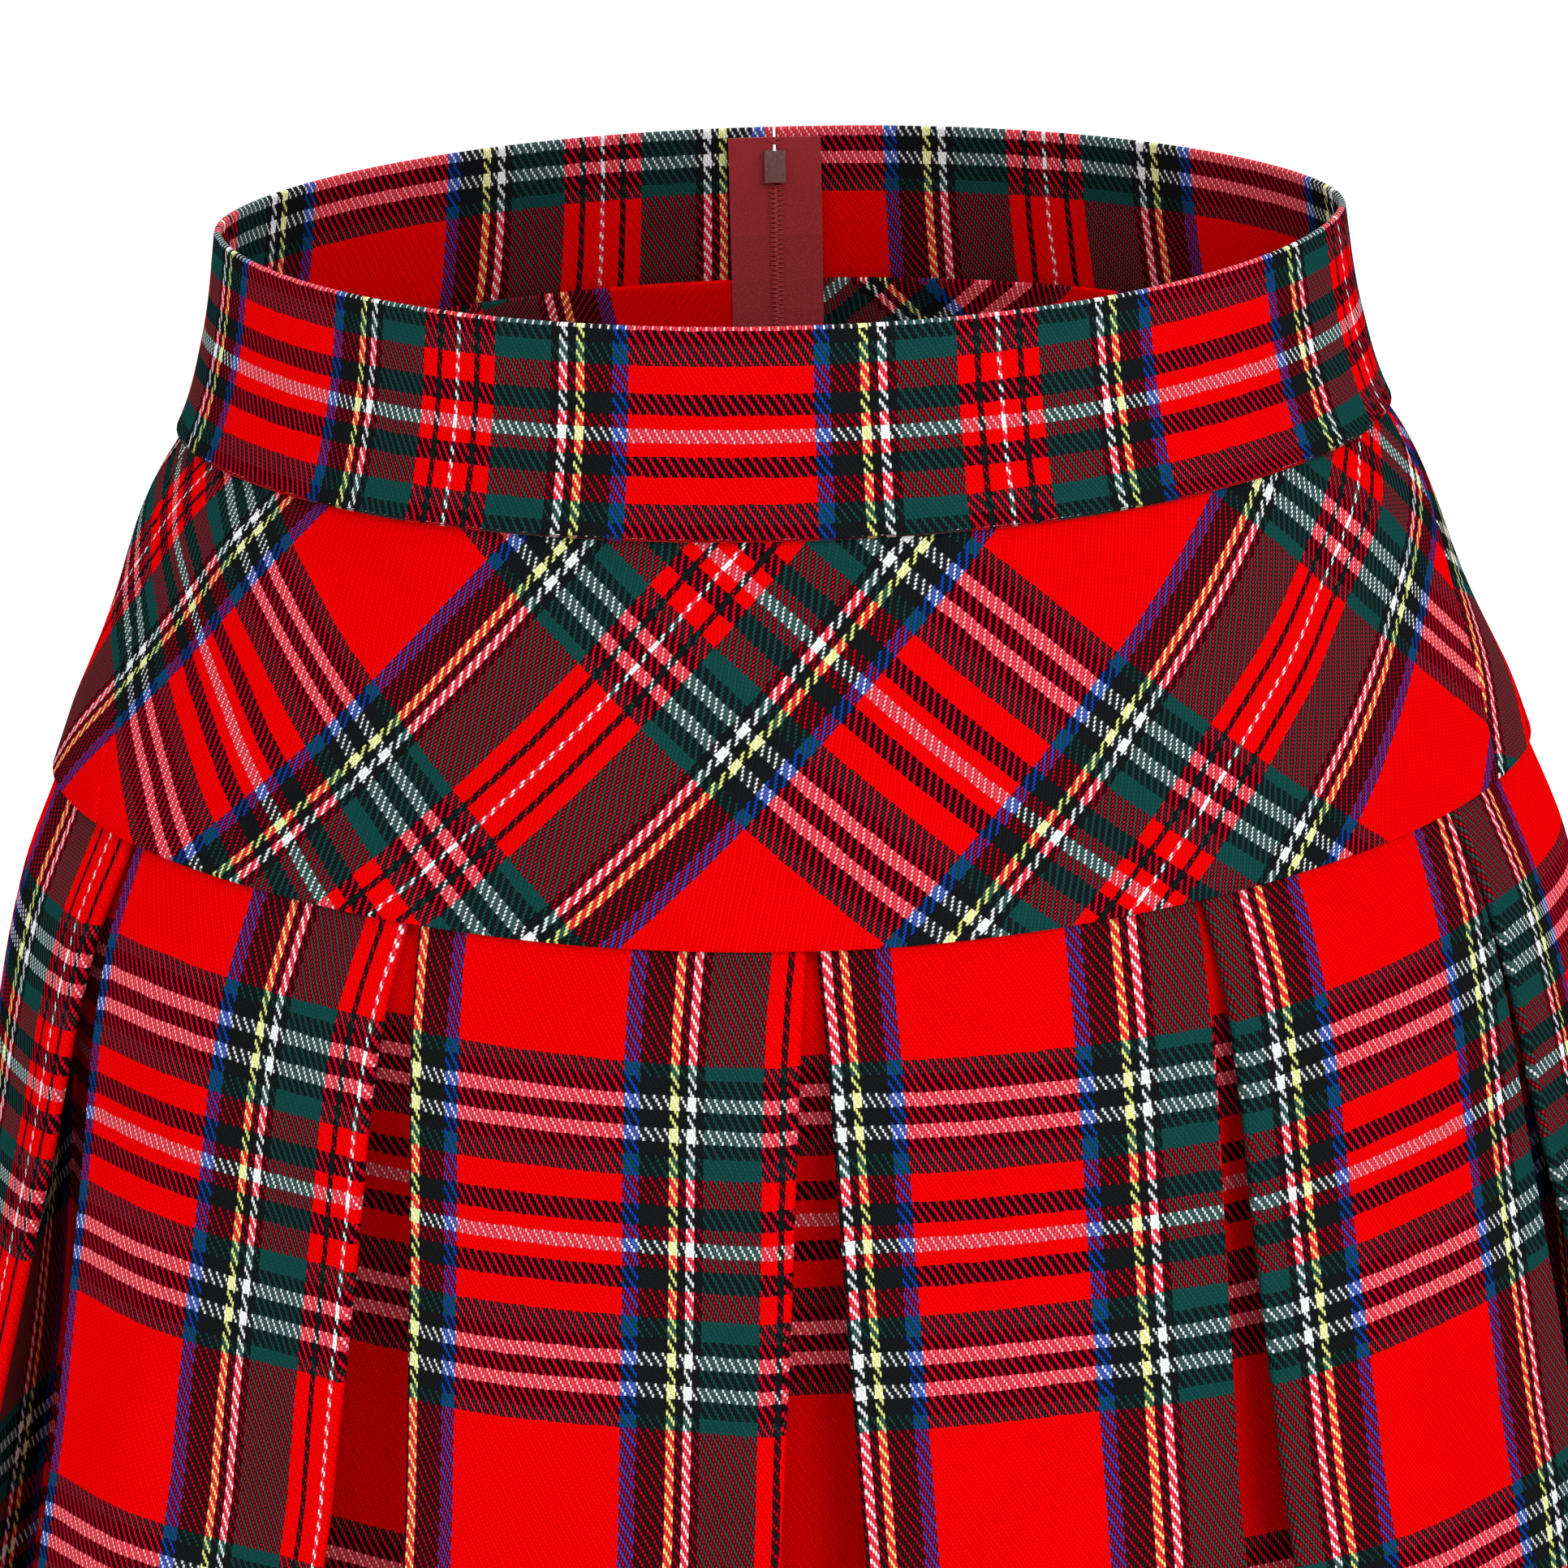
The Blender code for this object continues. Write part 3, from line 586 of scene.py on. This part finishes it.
def skirt_level(height, first, last, start_cut, end_cut):
    """Points, ends and sag of one level, from a cut in pleat first's underlay to one in last's."""
    ring = Ring(height, skirt_out(height))
    middles, gaps = pleat_plan(ring)
    under = UNDERLAY_STEPS // 2
    s, out, cloth, sag, owner = [], [], [], [], []
    for k in range(first, last + 1):
        half = pleat_half(gaps[k], pleat_depth(gaps[k], height))
        run = run_along(half)
        run = run / run[-1]
        before = k - 1 if k > -CENTRE_BACK else CENTRE_BACK - 1
        after = k if k < CENTRE_BACK else -CENTRE_BACK
        turn = PLEAT_ENDS * PLEATS
        left_end = edge_ends(middles, gaps, before, 1) - turn * (k == -CENTRE_BACK)
        right_end = edge_ends(middles, gaps, after, 0) + turn * (k == CENTRE_BACK)
        middle_end = PLEAT_ENDS * (k - 0.5) + UNDERLAY_AT.get(k, 0)
        left = np.column_stack([half, left_end + (middle_end - left_end) * run])
        right = np.column_stack([half * (-1, 1), right_end + (middle_end - right_end) * run])[::-1]
        flat = half[-1 - under][0]
        if k == first:
            left = left[:0]
            right[: under + 1, 0] = np.linspace(start_cut, -flat, under + 1)
            right[: under + 1, 2] = right[under, 2] - (-flat - right[: under + 1, 0]) / END
        elif k == last:
            right = right[:0]
            left[-1 - under :, 0] = np.linspace(flat, end_cut, under + 1)
            left[-1 - under :, 2] = left[-1 - under, 2] + (left[-1 - under :, 0] - flat) / END
        else:
            right = right[1:]
        both = np.vstack([left, right])
        s += list(middles[k] + both[:, 0])
        out += list(both[:, 1])
        cloth += list(both[:, 2])
        owner += [k] * len(both)
        edge_sags = PANEL_SAG.get(before, (0, 0))[1], PANEL_SAG.get(after, (0, 0))[0]
        sag += list(np.interp(both[:, 0], (-PLEAT_DEEP, PLEAT_DEEP), edge_sags))
        if k < last:
            start, end = panel_edges(middles, gaps, k)
            t = np.arange(1, PANEL_STEPS) / PANEL_STEPS
            s += list(start + (end - start) * t)
            out += [0.0] * len(t)
            cloth += list(panel_ends(middles, gaps, k, start + (end - start) * t))
            first_sag, last_sag = PANEL_SAG.get(k, (0, 0))
            sag += list(first_sag + (last_sag - first_sag) * t)
            owner += [None] * len(t)
    s, out, cloth = np.array(s), np.array(out), np.array(cloth)
    for k in range(first, last + 1):
        mine = np.array([o == k for o in owner])
        bend = float(ring.bend(middles[k]))
        s[mine] = middles[k] + (s[mine] - middles[k]) / (1 - bend * np.maximum(-out[mine], 0.0))
    loose = float(eased((YOKE_FOOT - DRAPE_HEAD - height) / DRAPE_RUN))
    out = out + loose * waves(DRAPE, pleat_part(s, middles), height)
    return ring.place(s, out), cloth, np.array(sag) / 1000


def make_skirt(material):
    half = SEAM_GAP / 2
    pieces = (
        ("skirt_front", -SIDE_JOIN, SIDE_JOIN, -JOIN_OUT + half, JOIN_OUT - half),
        ("skirt_back_left", SIDE_JOIN, CENTRE_BACK, JOIN_OUT + half, -BACK_SEAM),
        ("skirt_back_right", -CENTRE_BACK, -SIDE_JOIN, BACK_SEAM, -JOIN_OUT - half),
    )
    heights = np.concatenate([np.linspace(*levels) for levels in SKIRT_LEVELS])
    turned = heights < HEM + HEM_TURN
    for name, first, last, start_cut, end_cut in pieces:
        points, face, back = [], [], []
        for height, inside in zip(heights, np.where(turned, 2 * HEM - heights, heights)):
            grid, u, sag = skirt_level(height, first, last, start_cut, end_cut)
            points.append(grid)
            for side, at in ((face, height), (back, inside)):
                v = WEFT_HALF + (at + sag - SKIRT_WHITE_AT) / SKIRT_PICK
                side.append(np.stack([u, v], -1))
        thick = np.where(turned, CLOTH_WALL + HEM_SWELL, CLOTH_WALL)
        grids = np.array(points), np.array(face), np.array(back)
        piece = shell(name + "_cloth", *grids, thick, material)
        dress(piece, name)


def dress(piece, node):
    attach(piece, "skirt")
    if node:
        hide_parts(node)


# Thread and zip

# Stitches beside the zip's slit, from below the band's head to the tapes' foot. They arch a little
# and keep off the band's foot
ZIP_ROW = 0.0065
ZIP_ROW_HEAD = 0.003
ZIP_ROW_FOOT = 0.004
ZIP_STITCH = 0.0024
ZIP_STITCH_ROOM = 0.0026
ZIP_STITCH_STEP = 0.0031
ZIP_STITCH_ARCH = 0.00012
ZIP_STITCH_SUNK = 0.00005
ZIP_THREAD = 0.00016
# The coil's turns, left out at the slider: across, down and out, in millimetres
COIL_TURN = (
    (-1.7, -0.2, 0), (-0.6, -0.2, 0.1), (0.3, -0.12, 0.2), (0.45, 0, 0.2),
    (0.3, 0.12, 0.2), (-0.6, 0.2, 0.1), (-1.7, 0.2, 0),
)
COIL_PITCH = 0.0013
COIL_HEAD = 0.0022
COIL_FOOT = 0.002
COIL_GAP = 0.0002
COIL_THREAD = 0.00022
SLIDER_ROOM = 0.0054
# Slanted stitches on the turned hem's edge, kept off the folds
HEM_ROW = 0.0385
HEM_ROW_END = 0.004
HEM_STITCH = 0.0022
HEM_STITCH_RISE = 0.0016
HEM_STITCH_STEP = 0.0085
HEM_STITCH_OUT = 0.00012
HEM_STITCH_ARCH = 0.00015
HEM_THREAD = 0.00013


def tubes(name, paths, radius, sides, material):
    """One mesh of round threads, each along its own short path."""
    verts, faces = [], []
    for path in paths:
        path = np.asarray(path, float)
        ahead = unit(np.gradient(path, axis=0))
        start = len(verts)
        for i, (point, tangent) in enumerate(zip(path, ahead)):
            aside = np.cross(tangent, (0.3, 0.2, 0.93))
            aside = aside / np.linalg.norm(aside)
            up = np.cross(tangent, aside)
            size = radius * (0.45 if i in (0, len(path) - 1) else 1.0)
            for j in range(sides):
                angle = 2 * math.pi * j / sides
                verts.append(point + size * (math.cos(angle) * aside + math.sin(angle) * up))
        for i in range(len(path) - 1):
            for j in range(sides):
                a, b = start + i * sides + j, start + i * sides + (j + 1) % sides
                faces.append([a, b, b + sides, a + sides])
        faces.append([start + j for j in range(sides)][::-1])
        faces.append([len(verts) - sides + j for j in range(sides)])
    return finish_mesh(name, np.array(verts), faces, None, material, sharp=80)


def make_zip_sewing(thread):
    """Two rows of stitches beside the zip slit, through the waistband and the back yoke."""
    paths = []
    for side in (-1, 1):
        z = BAND_TOP - ZIP_ROW_HEAD
        while z > TAPE_FOOT + ZIP_ROW_FOOT:
            path = []
            for t in np.linspace(0, 1, 5):
                height = z - ZIP_STITCH * t
                ring = Ring(height)
                on_band = height > BAND_FOOT
                face = BAND_OUT + BAND_WALL / 2 if on_band else CLOTH_WALL / 2
                lift = ZIP_STITCH_ARCH * math.sin(math.pi * t) - ZIP_STITCH_SUNK
                s = ring.round / 2 - side * ZIP_ROW
                path.append(ring.place(np.array(s), np.array(face + lift)))
            if z - ZIP_STITCH_ROOM > BAND_FOOT or z < BAND_FOOT:
                paths.append(path)
            z -= ZIP_STITCH_STEP
    piece = tubes("zip_stitches", paths, ZIP_THREAD, 6, thread)
    dress(piece, None)


def make_zip_coil(plastic):
    """Closed coil of the zip behind the slit, below the slider, and the few turns above it."""
    paths = []
    z = BAND_TOP - COIL_HEAD
    behind = -(CLOTH_WALL / 2 + SEAM_GAP + TAPE_THICK + COIL_GAP)
    side = 1
    while z > TAPE_FOOT + COIL_FOOT:
        if abs(z - HINGE_Z) >= SLIDER_ROOM:
            ring = Ring(z)
            path = []
            for across, drop, lift in COIL_TURN:
                s = ring.round / 2 + side * across * 0.001
                point = ring.place(np.array(s), np.array(behind + lift * 0.001))
                path.append(point + np.array([0, 0, drop * 0.001]))
            paths.append(path)
        side = -side
        z -= COIL_PITCH / 2
    piece = tubes("zip_coil", paths, COIL_THREAD, 6, plastic)
    dress(piece, None)


def make_hem_stitches(thread):
    """Small slanted stitches that hold the turned hem, on the inside."""
    paths = []
    height = HEM + HEM_ROW
    ring = Ring(height)
    middles, gaps = pleat_plan(ring)
    for k in PLEAT_NUMBERS[:-1]:
        start = middles[k] + gaps[k] / 2 + HEM_ROW_END
        end = middles[k + 1] - gaps[k + 1] / 2 - HEM_ROW_END
        for s in np.arange(start, end, HEM_STITCH_STEP):
            path = []
            for t in np.linspace(0, 1, 4):
                place = np.array(s + HEM_STITCH * t)
                out = waves(DRAPE, pleat_part(place, middles), height) - CLOTH_WALL / 2
                out = out - HEM_STITCH_OUT - HEM_STITCH_ARCH * math.sin(math.pi * t)
                rise = np.array([0, 0, HEM_STITCH_RISE * (t - 0.5)])
                path.append(ring.place(place, np.array(out)) + rise)
            paths.append(path)
    piece = tubes("hem_stitches", paths, HEM_THREAD, 5, thread)
    dress(piece, None)


# Materials

class Graph:
    """A short way to write a material's nodes."""

    def __init__(self, name):
        self.material = bpy.data.materials.new(name)
        self.material.use_nodes = True
        self.nodes = self.material.node_tree.nodes
        self.links = self.material.node_tree.links
        self.shader = self.nodes["Principled BSDF"]

    def put(self, value, socket):
        if isinstance(value, bpy.types.NodeSocket):
            self.links.new(value, socket)
        else:
            socket.default_value = value

    def math(self, operation, a, b=None, c=None):
        node = self.nodes.new("ShaderNodeMath")
        node.operation = operation
        for value, socket in zip((a, b, c), node.inputs):
            if value is not None:
                self.put(value, socket)
        return node.outputs[0]

    def mix(self, factor, a, b, blend="MIX"):
        node = self.nodes.new("ShaderNodeMix")
        node.data_type = "RGBA"
        node.blend_type = blend
        self.put(factor, node.inputs[0])
        self.put(a, node.inputs[6])
        self.put(b, node.inputs[7])
        return node.outputs[2]

    def noise(self, vector, scale, detail, roughness=0.5):
        node = self.nodes.new("ShaderNodeTexNoise")
        self.links.new(vector, node.inputs["Vector"])
        node.inputs["Scale"].default_value = scale
        node.inputs["Detail"].default_value = detail
        node.inputs["Roughness"].default_value = roughness
        return node.outputs[0]

    def ramp(self, factor, stops):
        node = self.nodes.new("ShaderNodeValToRGB")
        node.color_ramp.interpolation = "CONSTANT"
        elements = node.color_ramp.elements
        while len(elements) < len(stops):
            elements.new(0.5)
        for element, (place, _) in zip(elements, stops):
            element.position = place
        for element, (_, colour) in zip(elements, stops):
            element.color = (*colour, 1.0)
        self.links.new(factor, node.inputs[0])
        return node.outputs[0]

    def position(self):
        return self.nodes.new("ShaderNodeTexCoord").outputs["Object"]

    def parts(self, vector):
        node = self.nodes.new("ShaderNodeSeparateXYZ")
        self.links.new(vector, node.inputs[0])
        return node.outputs

    def redness(self, colour):
        """How far a colour's red stands above its green, and that green."""
        node = self.nodes.new("ShaderNodeSeparateColor")
        self.links.new(colour, node.inputs[0])
        red, green, _ = node.outputs
        return self.math("MAXIMUM", self.math("SUBTRACT", red, green), 0.0), green

    def varied(self, value, part):
        """A value round 0.5 turned into one round 1, at part of its spread."""
        return self.math("MULTIPLY_ADD", self.math("SUBTRACT", value, 0.5), part, 1.0)

    def bump(self, height, distance, strength):
        node = self.nodes.new("ShaderNodeBump")
        node.inputs["Strength"].default_value = strength
        node.inputs["Distance"].default_value = distance
        self.links.new(height, node.inputs["Height"])
        return node.outputs[0]

    def set(self, **values):
        for name, value in values.items():
            self.put(value, self.shader.inputs[name.replace("_", " ")])


def sett_stops(sett):
    """A half sett as the stops of a colour ramp."""
    total = sum(count for _, count in sett)
    stops, run = [], 0
    for colour, count in sett:
        stops.append((run / total, YARNS[colour]))
        run += count
    return stops


# The weave. Ends and picks wander together by SLIP yarns. A float is highest in its middle and
# falls towards its ends and, by its side fall, towards its sides
SLIP = 0.9
SLIP_SCALE = 0.11
FLOAT_POWER = 2.4
WARP_SIDE_FALL = 0.6
WEFT_SIDE_FALL = 0.05
# How far a float sinks into the darker yarn, partly painted shade: SUNK_BASE and SUNK_FALL times
# its height, with more of both for the weft and for a pale weft, and more base for a weft over red
# and for red itself
SUNK_BASE = 1.08
SUNK_FALL = -1.40
WEFT_BASE = 2.47
WEFT_FALL = -2.0
PALE_BASE = 1.68
PALE_FALL = -1.92
OVER_RED_BASE = 0.36
RED_BASE = 0.26
SUNK_MOST = 0.94
# How much of the yarn below glows through, by the brightness of the one above
GLOW = 1.35
GLOW_MOST = 0.12
CRIMSON = (0.36, 0.0003, 0.075, 1.0)
CRIMSON_PART = 0.5
# Painted shade between the floats, darkest where a float falls to its ends and sides; light and
# dark at random in the fibres and where the cloth is worn
SHADE_POWER = 0.6
SHADE_RUN = 0.58
SHADE_DARK = 0.55
FIBRE_SHADE = 0.5
FIBRE_SCALE = 1.9
WORN_SHADE = 0.12
WORN_SCALE = 38.0
FUZZ = 0.35
FUZZ_SCALE = 4.3
WEAVE_RELIEF = 0.00016


def tartan():
    """A two-by-two twill of dyed yarns. The map counts ends across and picks up the cloth."""
    g = Graph("wool_tartan")
    uv_map = g.nodes.new("ShaderNodeUVMap")
    uv_map.uv_map = "cloth"
    uv = uv_map.outputs[0]
    place = g.parts(uv)
    slip = g.math("MULTIPLY", g.math("SUBTRACT", g.noise(uv, SLIP_SCALE, 1.0), 0.5), SLIP)
    u, v = g.math("ADD", place[0], slip), g.math("ADD", place[1], slip)
    end, pick = g.math("FLOOR", u), g.math("FLOOR", v)
    across, up = g.math("FRACT", u), g.math("FRACT", v)

    def yarn(number, half, sett):
        at = g.math("PINGPONG", g.math("ADD", number, 0.5), half)
        return g.ramp(g.math("DIVIDE", at, half), sett_stops(sett))

    def crown(run, middle, cross, fall):
        along = g.math("ABSOLUTE", g.math("SUBTRACT", run, middle))
        long = g.math("SUBTRACT", 1.0, g.math("POWER", along, FLOAT_POWER))
        side = g.math("ABSOLUTE", g.math("MULTIPLY_ADD", cross, 2.0, -1.0))
        wide = g.math("MULTIPLY_ADD", g.math("POWER", side, 2.0), -fall, 1.0)
        return g.math("MULTIPLY", g.math("MAXIMUM", long, 0.0), wide)

    warp, weft = yarn(end, WARP_HALF, WARP_SETT), yarn(pick, WEFT_HALF, WEFT_SETT)
    step = g.math("FLOORED_MODULO", g.math("ADD", end, pick), 4.0)
    weft_up = g.math("GREATER_THAN", step, 1.5)
    warp_run = g.math("FLOORED_MODULO", g.math("ADD", end, v), 4.0)
    weft_run = g.math("FLOORED_MODULO", g.math("ADD", u, pick), 4.0)
    warp_top = crown(warp_run, 1.0, across, WARP_SIDE_FALL)
    weft_top = crown(weft_run, 3.0, up, WEFT_SIDE_FALL)
    warp_top = g.math("MULTIPLY", warp_top, g.math("SUBTRACT", 1.0, weft_up))
    height = g.math("ADD", warp_top, g.math("MULTIPLY", weft_top, weft_up))

    # Each float shows its own colour on its crown and sinks into the darker of the two at its sides
    # and ends: partly the yarn below showing there, partly painted shade where the float dips.
    # The weft sinks deeper than the warp and the pale weft most, to short bright strokes.
    # A little of the yarn below glows through.
    own, other = g.mix(weft_up, warp, weft), g.mix(weft_up, weft, warp)
    darker = g.mix(1.0, warp, weft, "DARKEN")
    own_red, own_green = g.redness(own)
    other_red, _ = g.redness(other)
    pale = g.math("MULTIPLY", own_green, weft_up)
    base = g.math("MULTIPLY_ADD", weft_up, WEFT_BASE, SUNK_BASE)
    base = g.math("MULTIPLY_ADD", pale, PALE_BASE, base)
    over_red = g.math("MULTIPLY", weft_up, other_red)
    base = g.math("MULTIPLY_ADD", over_red, OVER_RED_BASE, base)
    fall = g.math("MULTIPLY_ADD", weft_up, WEFT_FALL, SUNK_FALL)
    fall = g.math("MULTIPLY_ADD", pale, PALE_FALL, fall)
    sunk = g.math("MULTIPLY_ADD", height, fall, base)
    sunk = g.math("ADD", sunk, g.math("MULTIPLY", own_red, RED_BASE))
    sunk = g.math("MINIMUM", g.math("MAXIMUM", sunk, 0.0), SUNK_MOST)
    bright = g.nodes.new("ShaderNodeRGBToBW")
    g.links.new(own, bright.inputs[0])
    glow = g.math("MINIMUM", g.math("MULTIPLY", bright.outputs[0], GLOW), GLOW_MOST)
    colour = g.mix(sunk, g.mix(glow, own, other), darker)

    # Red turns to crimson where it crosses any other colour
    red, _ = g.redness(colour)
    uneven = g.math("ABSOLUTE", g.math("SUBTRACT", own_red, other_red))
    crimson = g.math("MULTIPLY", g.math("MULTIPLY", uneven, red), CRIMSON_PART)
    colour = g.mix(crimson, colour, CRIMSON)

    # Painted shade: the colour darkens where a float falls away between its neighbours, for the
    # shade in the weave's hollows
    shade = g.math("MULTIPLY_ADD", g.math("POWER", height, SHADE_POWER), SHADE_RUN, SHADE_DARK)
    fibre = g.varied(g.noise(uv, FIBRE_SCALE, 2.0, 0.7), FIBRE_SHADE)
    worn = g.varied(g.noise(g.position(), WORN_SCALE, 3.0), WORN_SHADE)
    shade = g.math("MULTIPLY", g.math("MULTIPLY", shade, fibre), worn)
    grey = g.nodes.new("ShaderNodeCombineColor")
    for socket in list(grey.inputs)[:3]:
        g.links.new(shade, socket)
    colour = g.mix(1.0, colour, grey.outputs[0], "MULTIPLY")
    fuzz = g.noise(uv, FUZZ_SCALE, 3.0, 0.65)
    relief = g.math("ADD", height, g.math("MULTIPLY", fuzz, FUZZ))
    g.set(
        Base_Color=colour, Roughness=0.86, Specular_IOR_Level=0.0,
        Normal=g.bump(relief, WEAVE_RELIEF, 0.9),
    )
    return g.material


# Zip and thread: ribs in radians a metre, and the dark and the light of each stuff, which on the
# tape and the thread is painted shade in the hollows of the ribs and plies
TAPE_RIB = 9000.0
TAPE_WEAVE = 11000.0
THREAD_PLY = 14000.0
TAPE_COLOURS = (0.110, 0.003, 0.006, 1.0), (0.420, 0.008, 0.016, 1.0)
THREAD_COLOURS = (0.30, 0.002, 0.006, 1.0), (0.62, 0.006, 0.012, 1.0)
NICKEL_COLOURS = (0.50, 0.49, 0.47, 1.0), (0.64, 0.63, 0.61, 1.0)
COIL_COLOURS = (0.26, 0.004, 0.008, 1.0), (0.40, 0.010, 0.016, 1.0)


def tape_cloth():
    g = Graph("zip_tape_weave")
    place = g.parts(g.position())
    rib = g.math("SINE", g.math("MULTIPLY", place[0], TAPE_RIB))
    weave = g.math("SINE", g.math("MULTIPLY", place[2], TAPE_WEAVE))
    height = g.math("MULTIPLY", rib, weave)
    # Painted shade: the tape darkens in the hollows between its ribs
    shade = g.math("MULTIPLY_ADD", height, 0.25, 0.75)
    g.set(
        Base_Color=g.mix(shade, *TAPE_COLOURS),
        Roughness=0.8, Sheen_Weight=0.1, Normal=g.bump(height, 0.00012, 0.8),
    )
    return g.material


def thread_fibre():
    g = Graph("red_thread")
    x, y, z = g.parts(g.position())
    slant = g.math("ADD", g.math("ADD", x, y), z)
    # Painted shade: the thread darkens in the grooves between its plies
    ply = g.math("SINE", g.math("MULTIPLY", slant, THREAD_PLY))
    g.set(
        Base_Color=g.mix(g.math("MULTIPLY_ADD", ply, 0.5, 0.5), *THREAD_COLOURS),
        Roughness=0.55, Normal=g.bump(ply, 0.00006, 0.8),
    )
    return g.material


def zip_metal():
    g = Graph("zip_metal_nickel")
    spot = g.noise(g.position(), 900.0, 3.0, 0.6)
    haze = g.noise(g.position(), 160.0, 2.0)
    g.set(
        Base_Color=g.mix(haze, *NICKEL_COLOURS), Metallic=1.0,
        Roughness=g.math("MULTIPLY_ADD", spot, 0.22, 0.20), Normal=g.bump(spot, 0.00002, 0.4),
    )
    return g.material


def coil_plastic():
    g = Graph("zip_coil_plastic")
    spot = g.noise(g.position(), 700.0, 2.0)
    g.set(Base_Color=g.mix(spot, *COIL_COLOURS), Roughness=0.38)
    return g.material


# Stage, light and camera

FLOOR_HALF = 14
FLOOR_AT = -0.62
WORLD_POWER = 0.62
# Name, place, aim, size, power
LIGHTS = (
    ("ceiling", (0, 0, 3.6), (0, 0, 0), (16, 16), 440),
    ("key", (0.9, -2.2, 1.5), (0, 0, -0.15), (0.8, 0.8), 27),
    ("back", (0.3, 2.4, 1.2), (0, 0, -0.15), (2.0, 1.6), 16),
)


def make_floor():
    mesh = bpy.data.meshes.new("floor")
    signs = ((-1, -1), (1, -1), (1, 1), (-1, 1))
    corners = [(x * FLOOR_HALF, y * FLOOR_HALF, FLOOR_AT) for x, y in signs]
    mesh.from_pydata(corners, [], [(0, 1, 2, 3)])
    floor = bpy.data.objects.new("floor", mesh)
    bpy.context.scene.collection.objects.link(floor)
    g = Graph("floor_paint")
    g.set(Base_Color=(0.99, 0.99, 0.99, 1.0), Roughness=1.0, Specular_IOR_Level=0.0)
    mesh.materials.append(g.material)


def area_light(name, place, aim, size, power):
    light = bpy.data.lights.new(name, "AREA")
    light.shape = "RECTANGLE"
    light.size, light.size_y = size
    light.energy = power
    obj = bpy.data.objects.new(name, light)
    obj.location = place
    obj.rotation_euler = (Vector(aim) - Vector(place)).to_track_quat("-Z", "Y").to_euler()
    obj.visible_camera = False
    bpy.context.scene.collection.objects.link(obj)


def make_light():
    world = bpy.data.worlds.new("studio")
    world.use_nodes = True
    ground = world.node_tree.nodes["Background"]
    ground.inputs[0].default_value = (1.0, 1.0, 1.0, 1.0)
    ground.inputs[1].default_value = WORLD_POWER
    bpy.context.scene.world = world
    for light in LIGHTS:
        area_light(*light)
    bpy.context.scene.view_settings.view_transform = "Standard"


# The camera looks at VIEW_AT, across and up. Its focal length is in pixels of the picture
VIEW_AWAY = 1.4809
VIEW_RISE = math.radians(19.084)
VIEW_ROUND = math.radians(-0.5)
VIEW_ROLL = math.radians(-1.387)
VIEW_AT = (-0.00222, -0.11758)
FRAME_PIXELS = 1932
VIEW_FOCAL = 7547.3
SENSOR = 36.0


def make_camera():
    back = np.array([
        math.sin(VIEW_ROUND) * math.cos(VIEW_RISE),
        -math.cos(VIEW_ROUND) * math.cos(VIEW_RISE),
        math.sin(VIEW_RISE),
    ])
    right = np.array([math.cos(VIEW_ROUND), math.sin(VIEW_ROUND), 0.0])
    up = np.cross(back, right)
    aim = VIEW_AT[0] * right + np.array([0.0, 0.0, VIEW_AT[1]])
    place = aim + back * VIEW_AWAY
    c, s = math.cos(VIEW_ROLL), math.sin(VIEW_ROLL)
    right, up = c * right + s * up, -s * right + c * up
    data = bpy.data.cameras.new("camera")
    data.sensor_width = SENSOR
    data.lens = VIEW_FOCAL / FRAME_PIXELS * SENSOR
    data.clip_start = 0.05
    data.clip_end = 60.0
    camera = bpy.data.objects.new("camera", data)
    matrix = Matrix.Identity(4)
    for row in range(3):
        matrix[row] = right[row], up[row], back[row], place[row]
    camera.matrix_world = matrix
    bpy.context.scene.collection.objects.link(camera)
    bpy.context.scene.camera = camera


def give(node, material):
    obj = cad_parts[node]
    obj.data.materials.clear()
    obj.data.materials.append(material)


def main():
    cloth = tartan()
    make_waistband(cloth)
    make_yoke(cloth)
    make_skirt(cloth)
    thread = thread_fibre()
    make_zip_sewing(thread)
    make_zip_coil(coil_plastic())
    make_hem_stitches(thread)
    tape = tape_cloth()
    metal = zip_metal()
    for node in ("zip_tape_left", "zip_tape_right"):
        give(node, tape)
    for node in ("zip_slider", "zip_pull"):
        give(node, metal)
    make_floor()
    make_light()
    make_camera()


main()
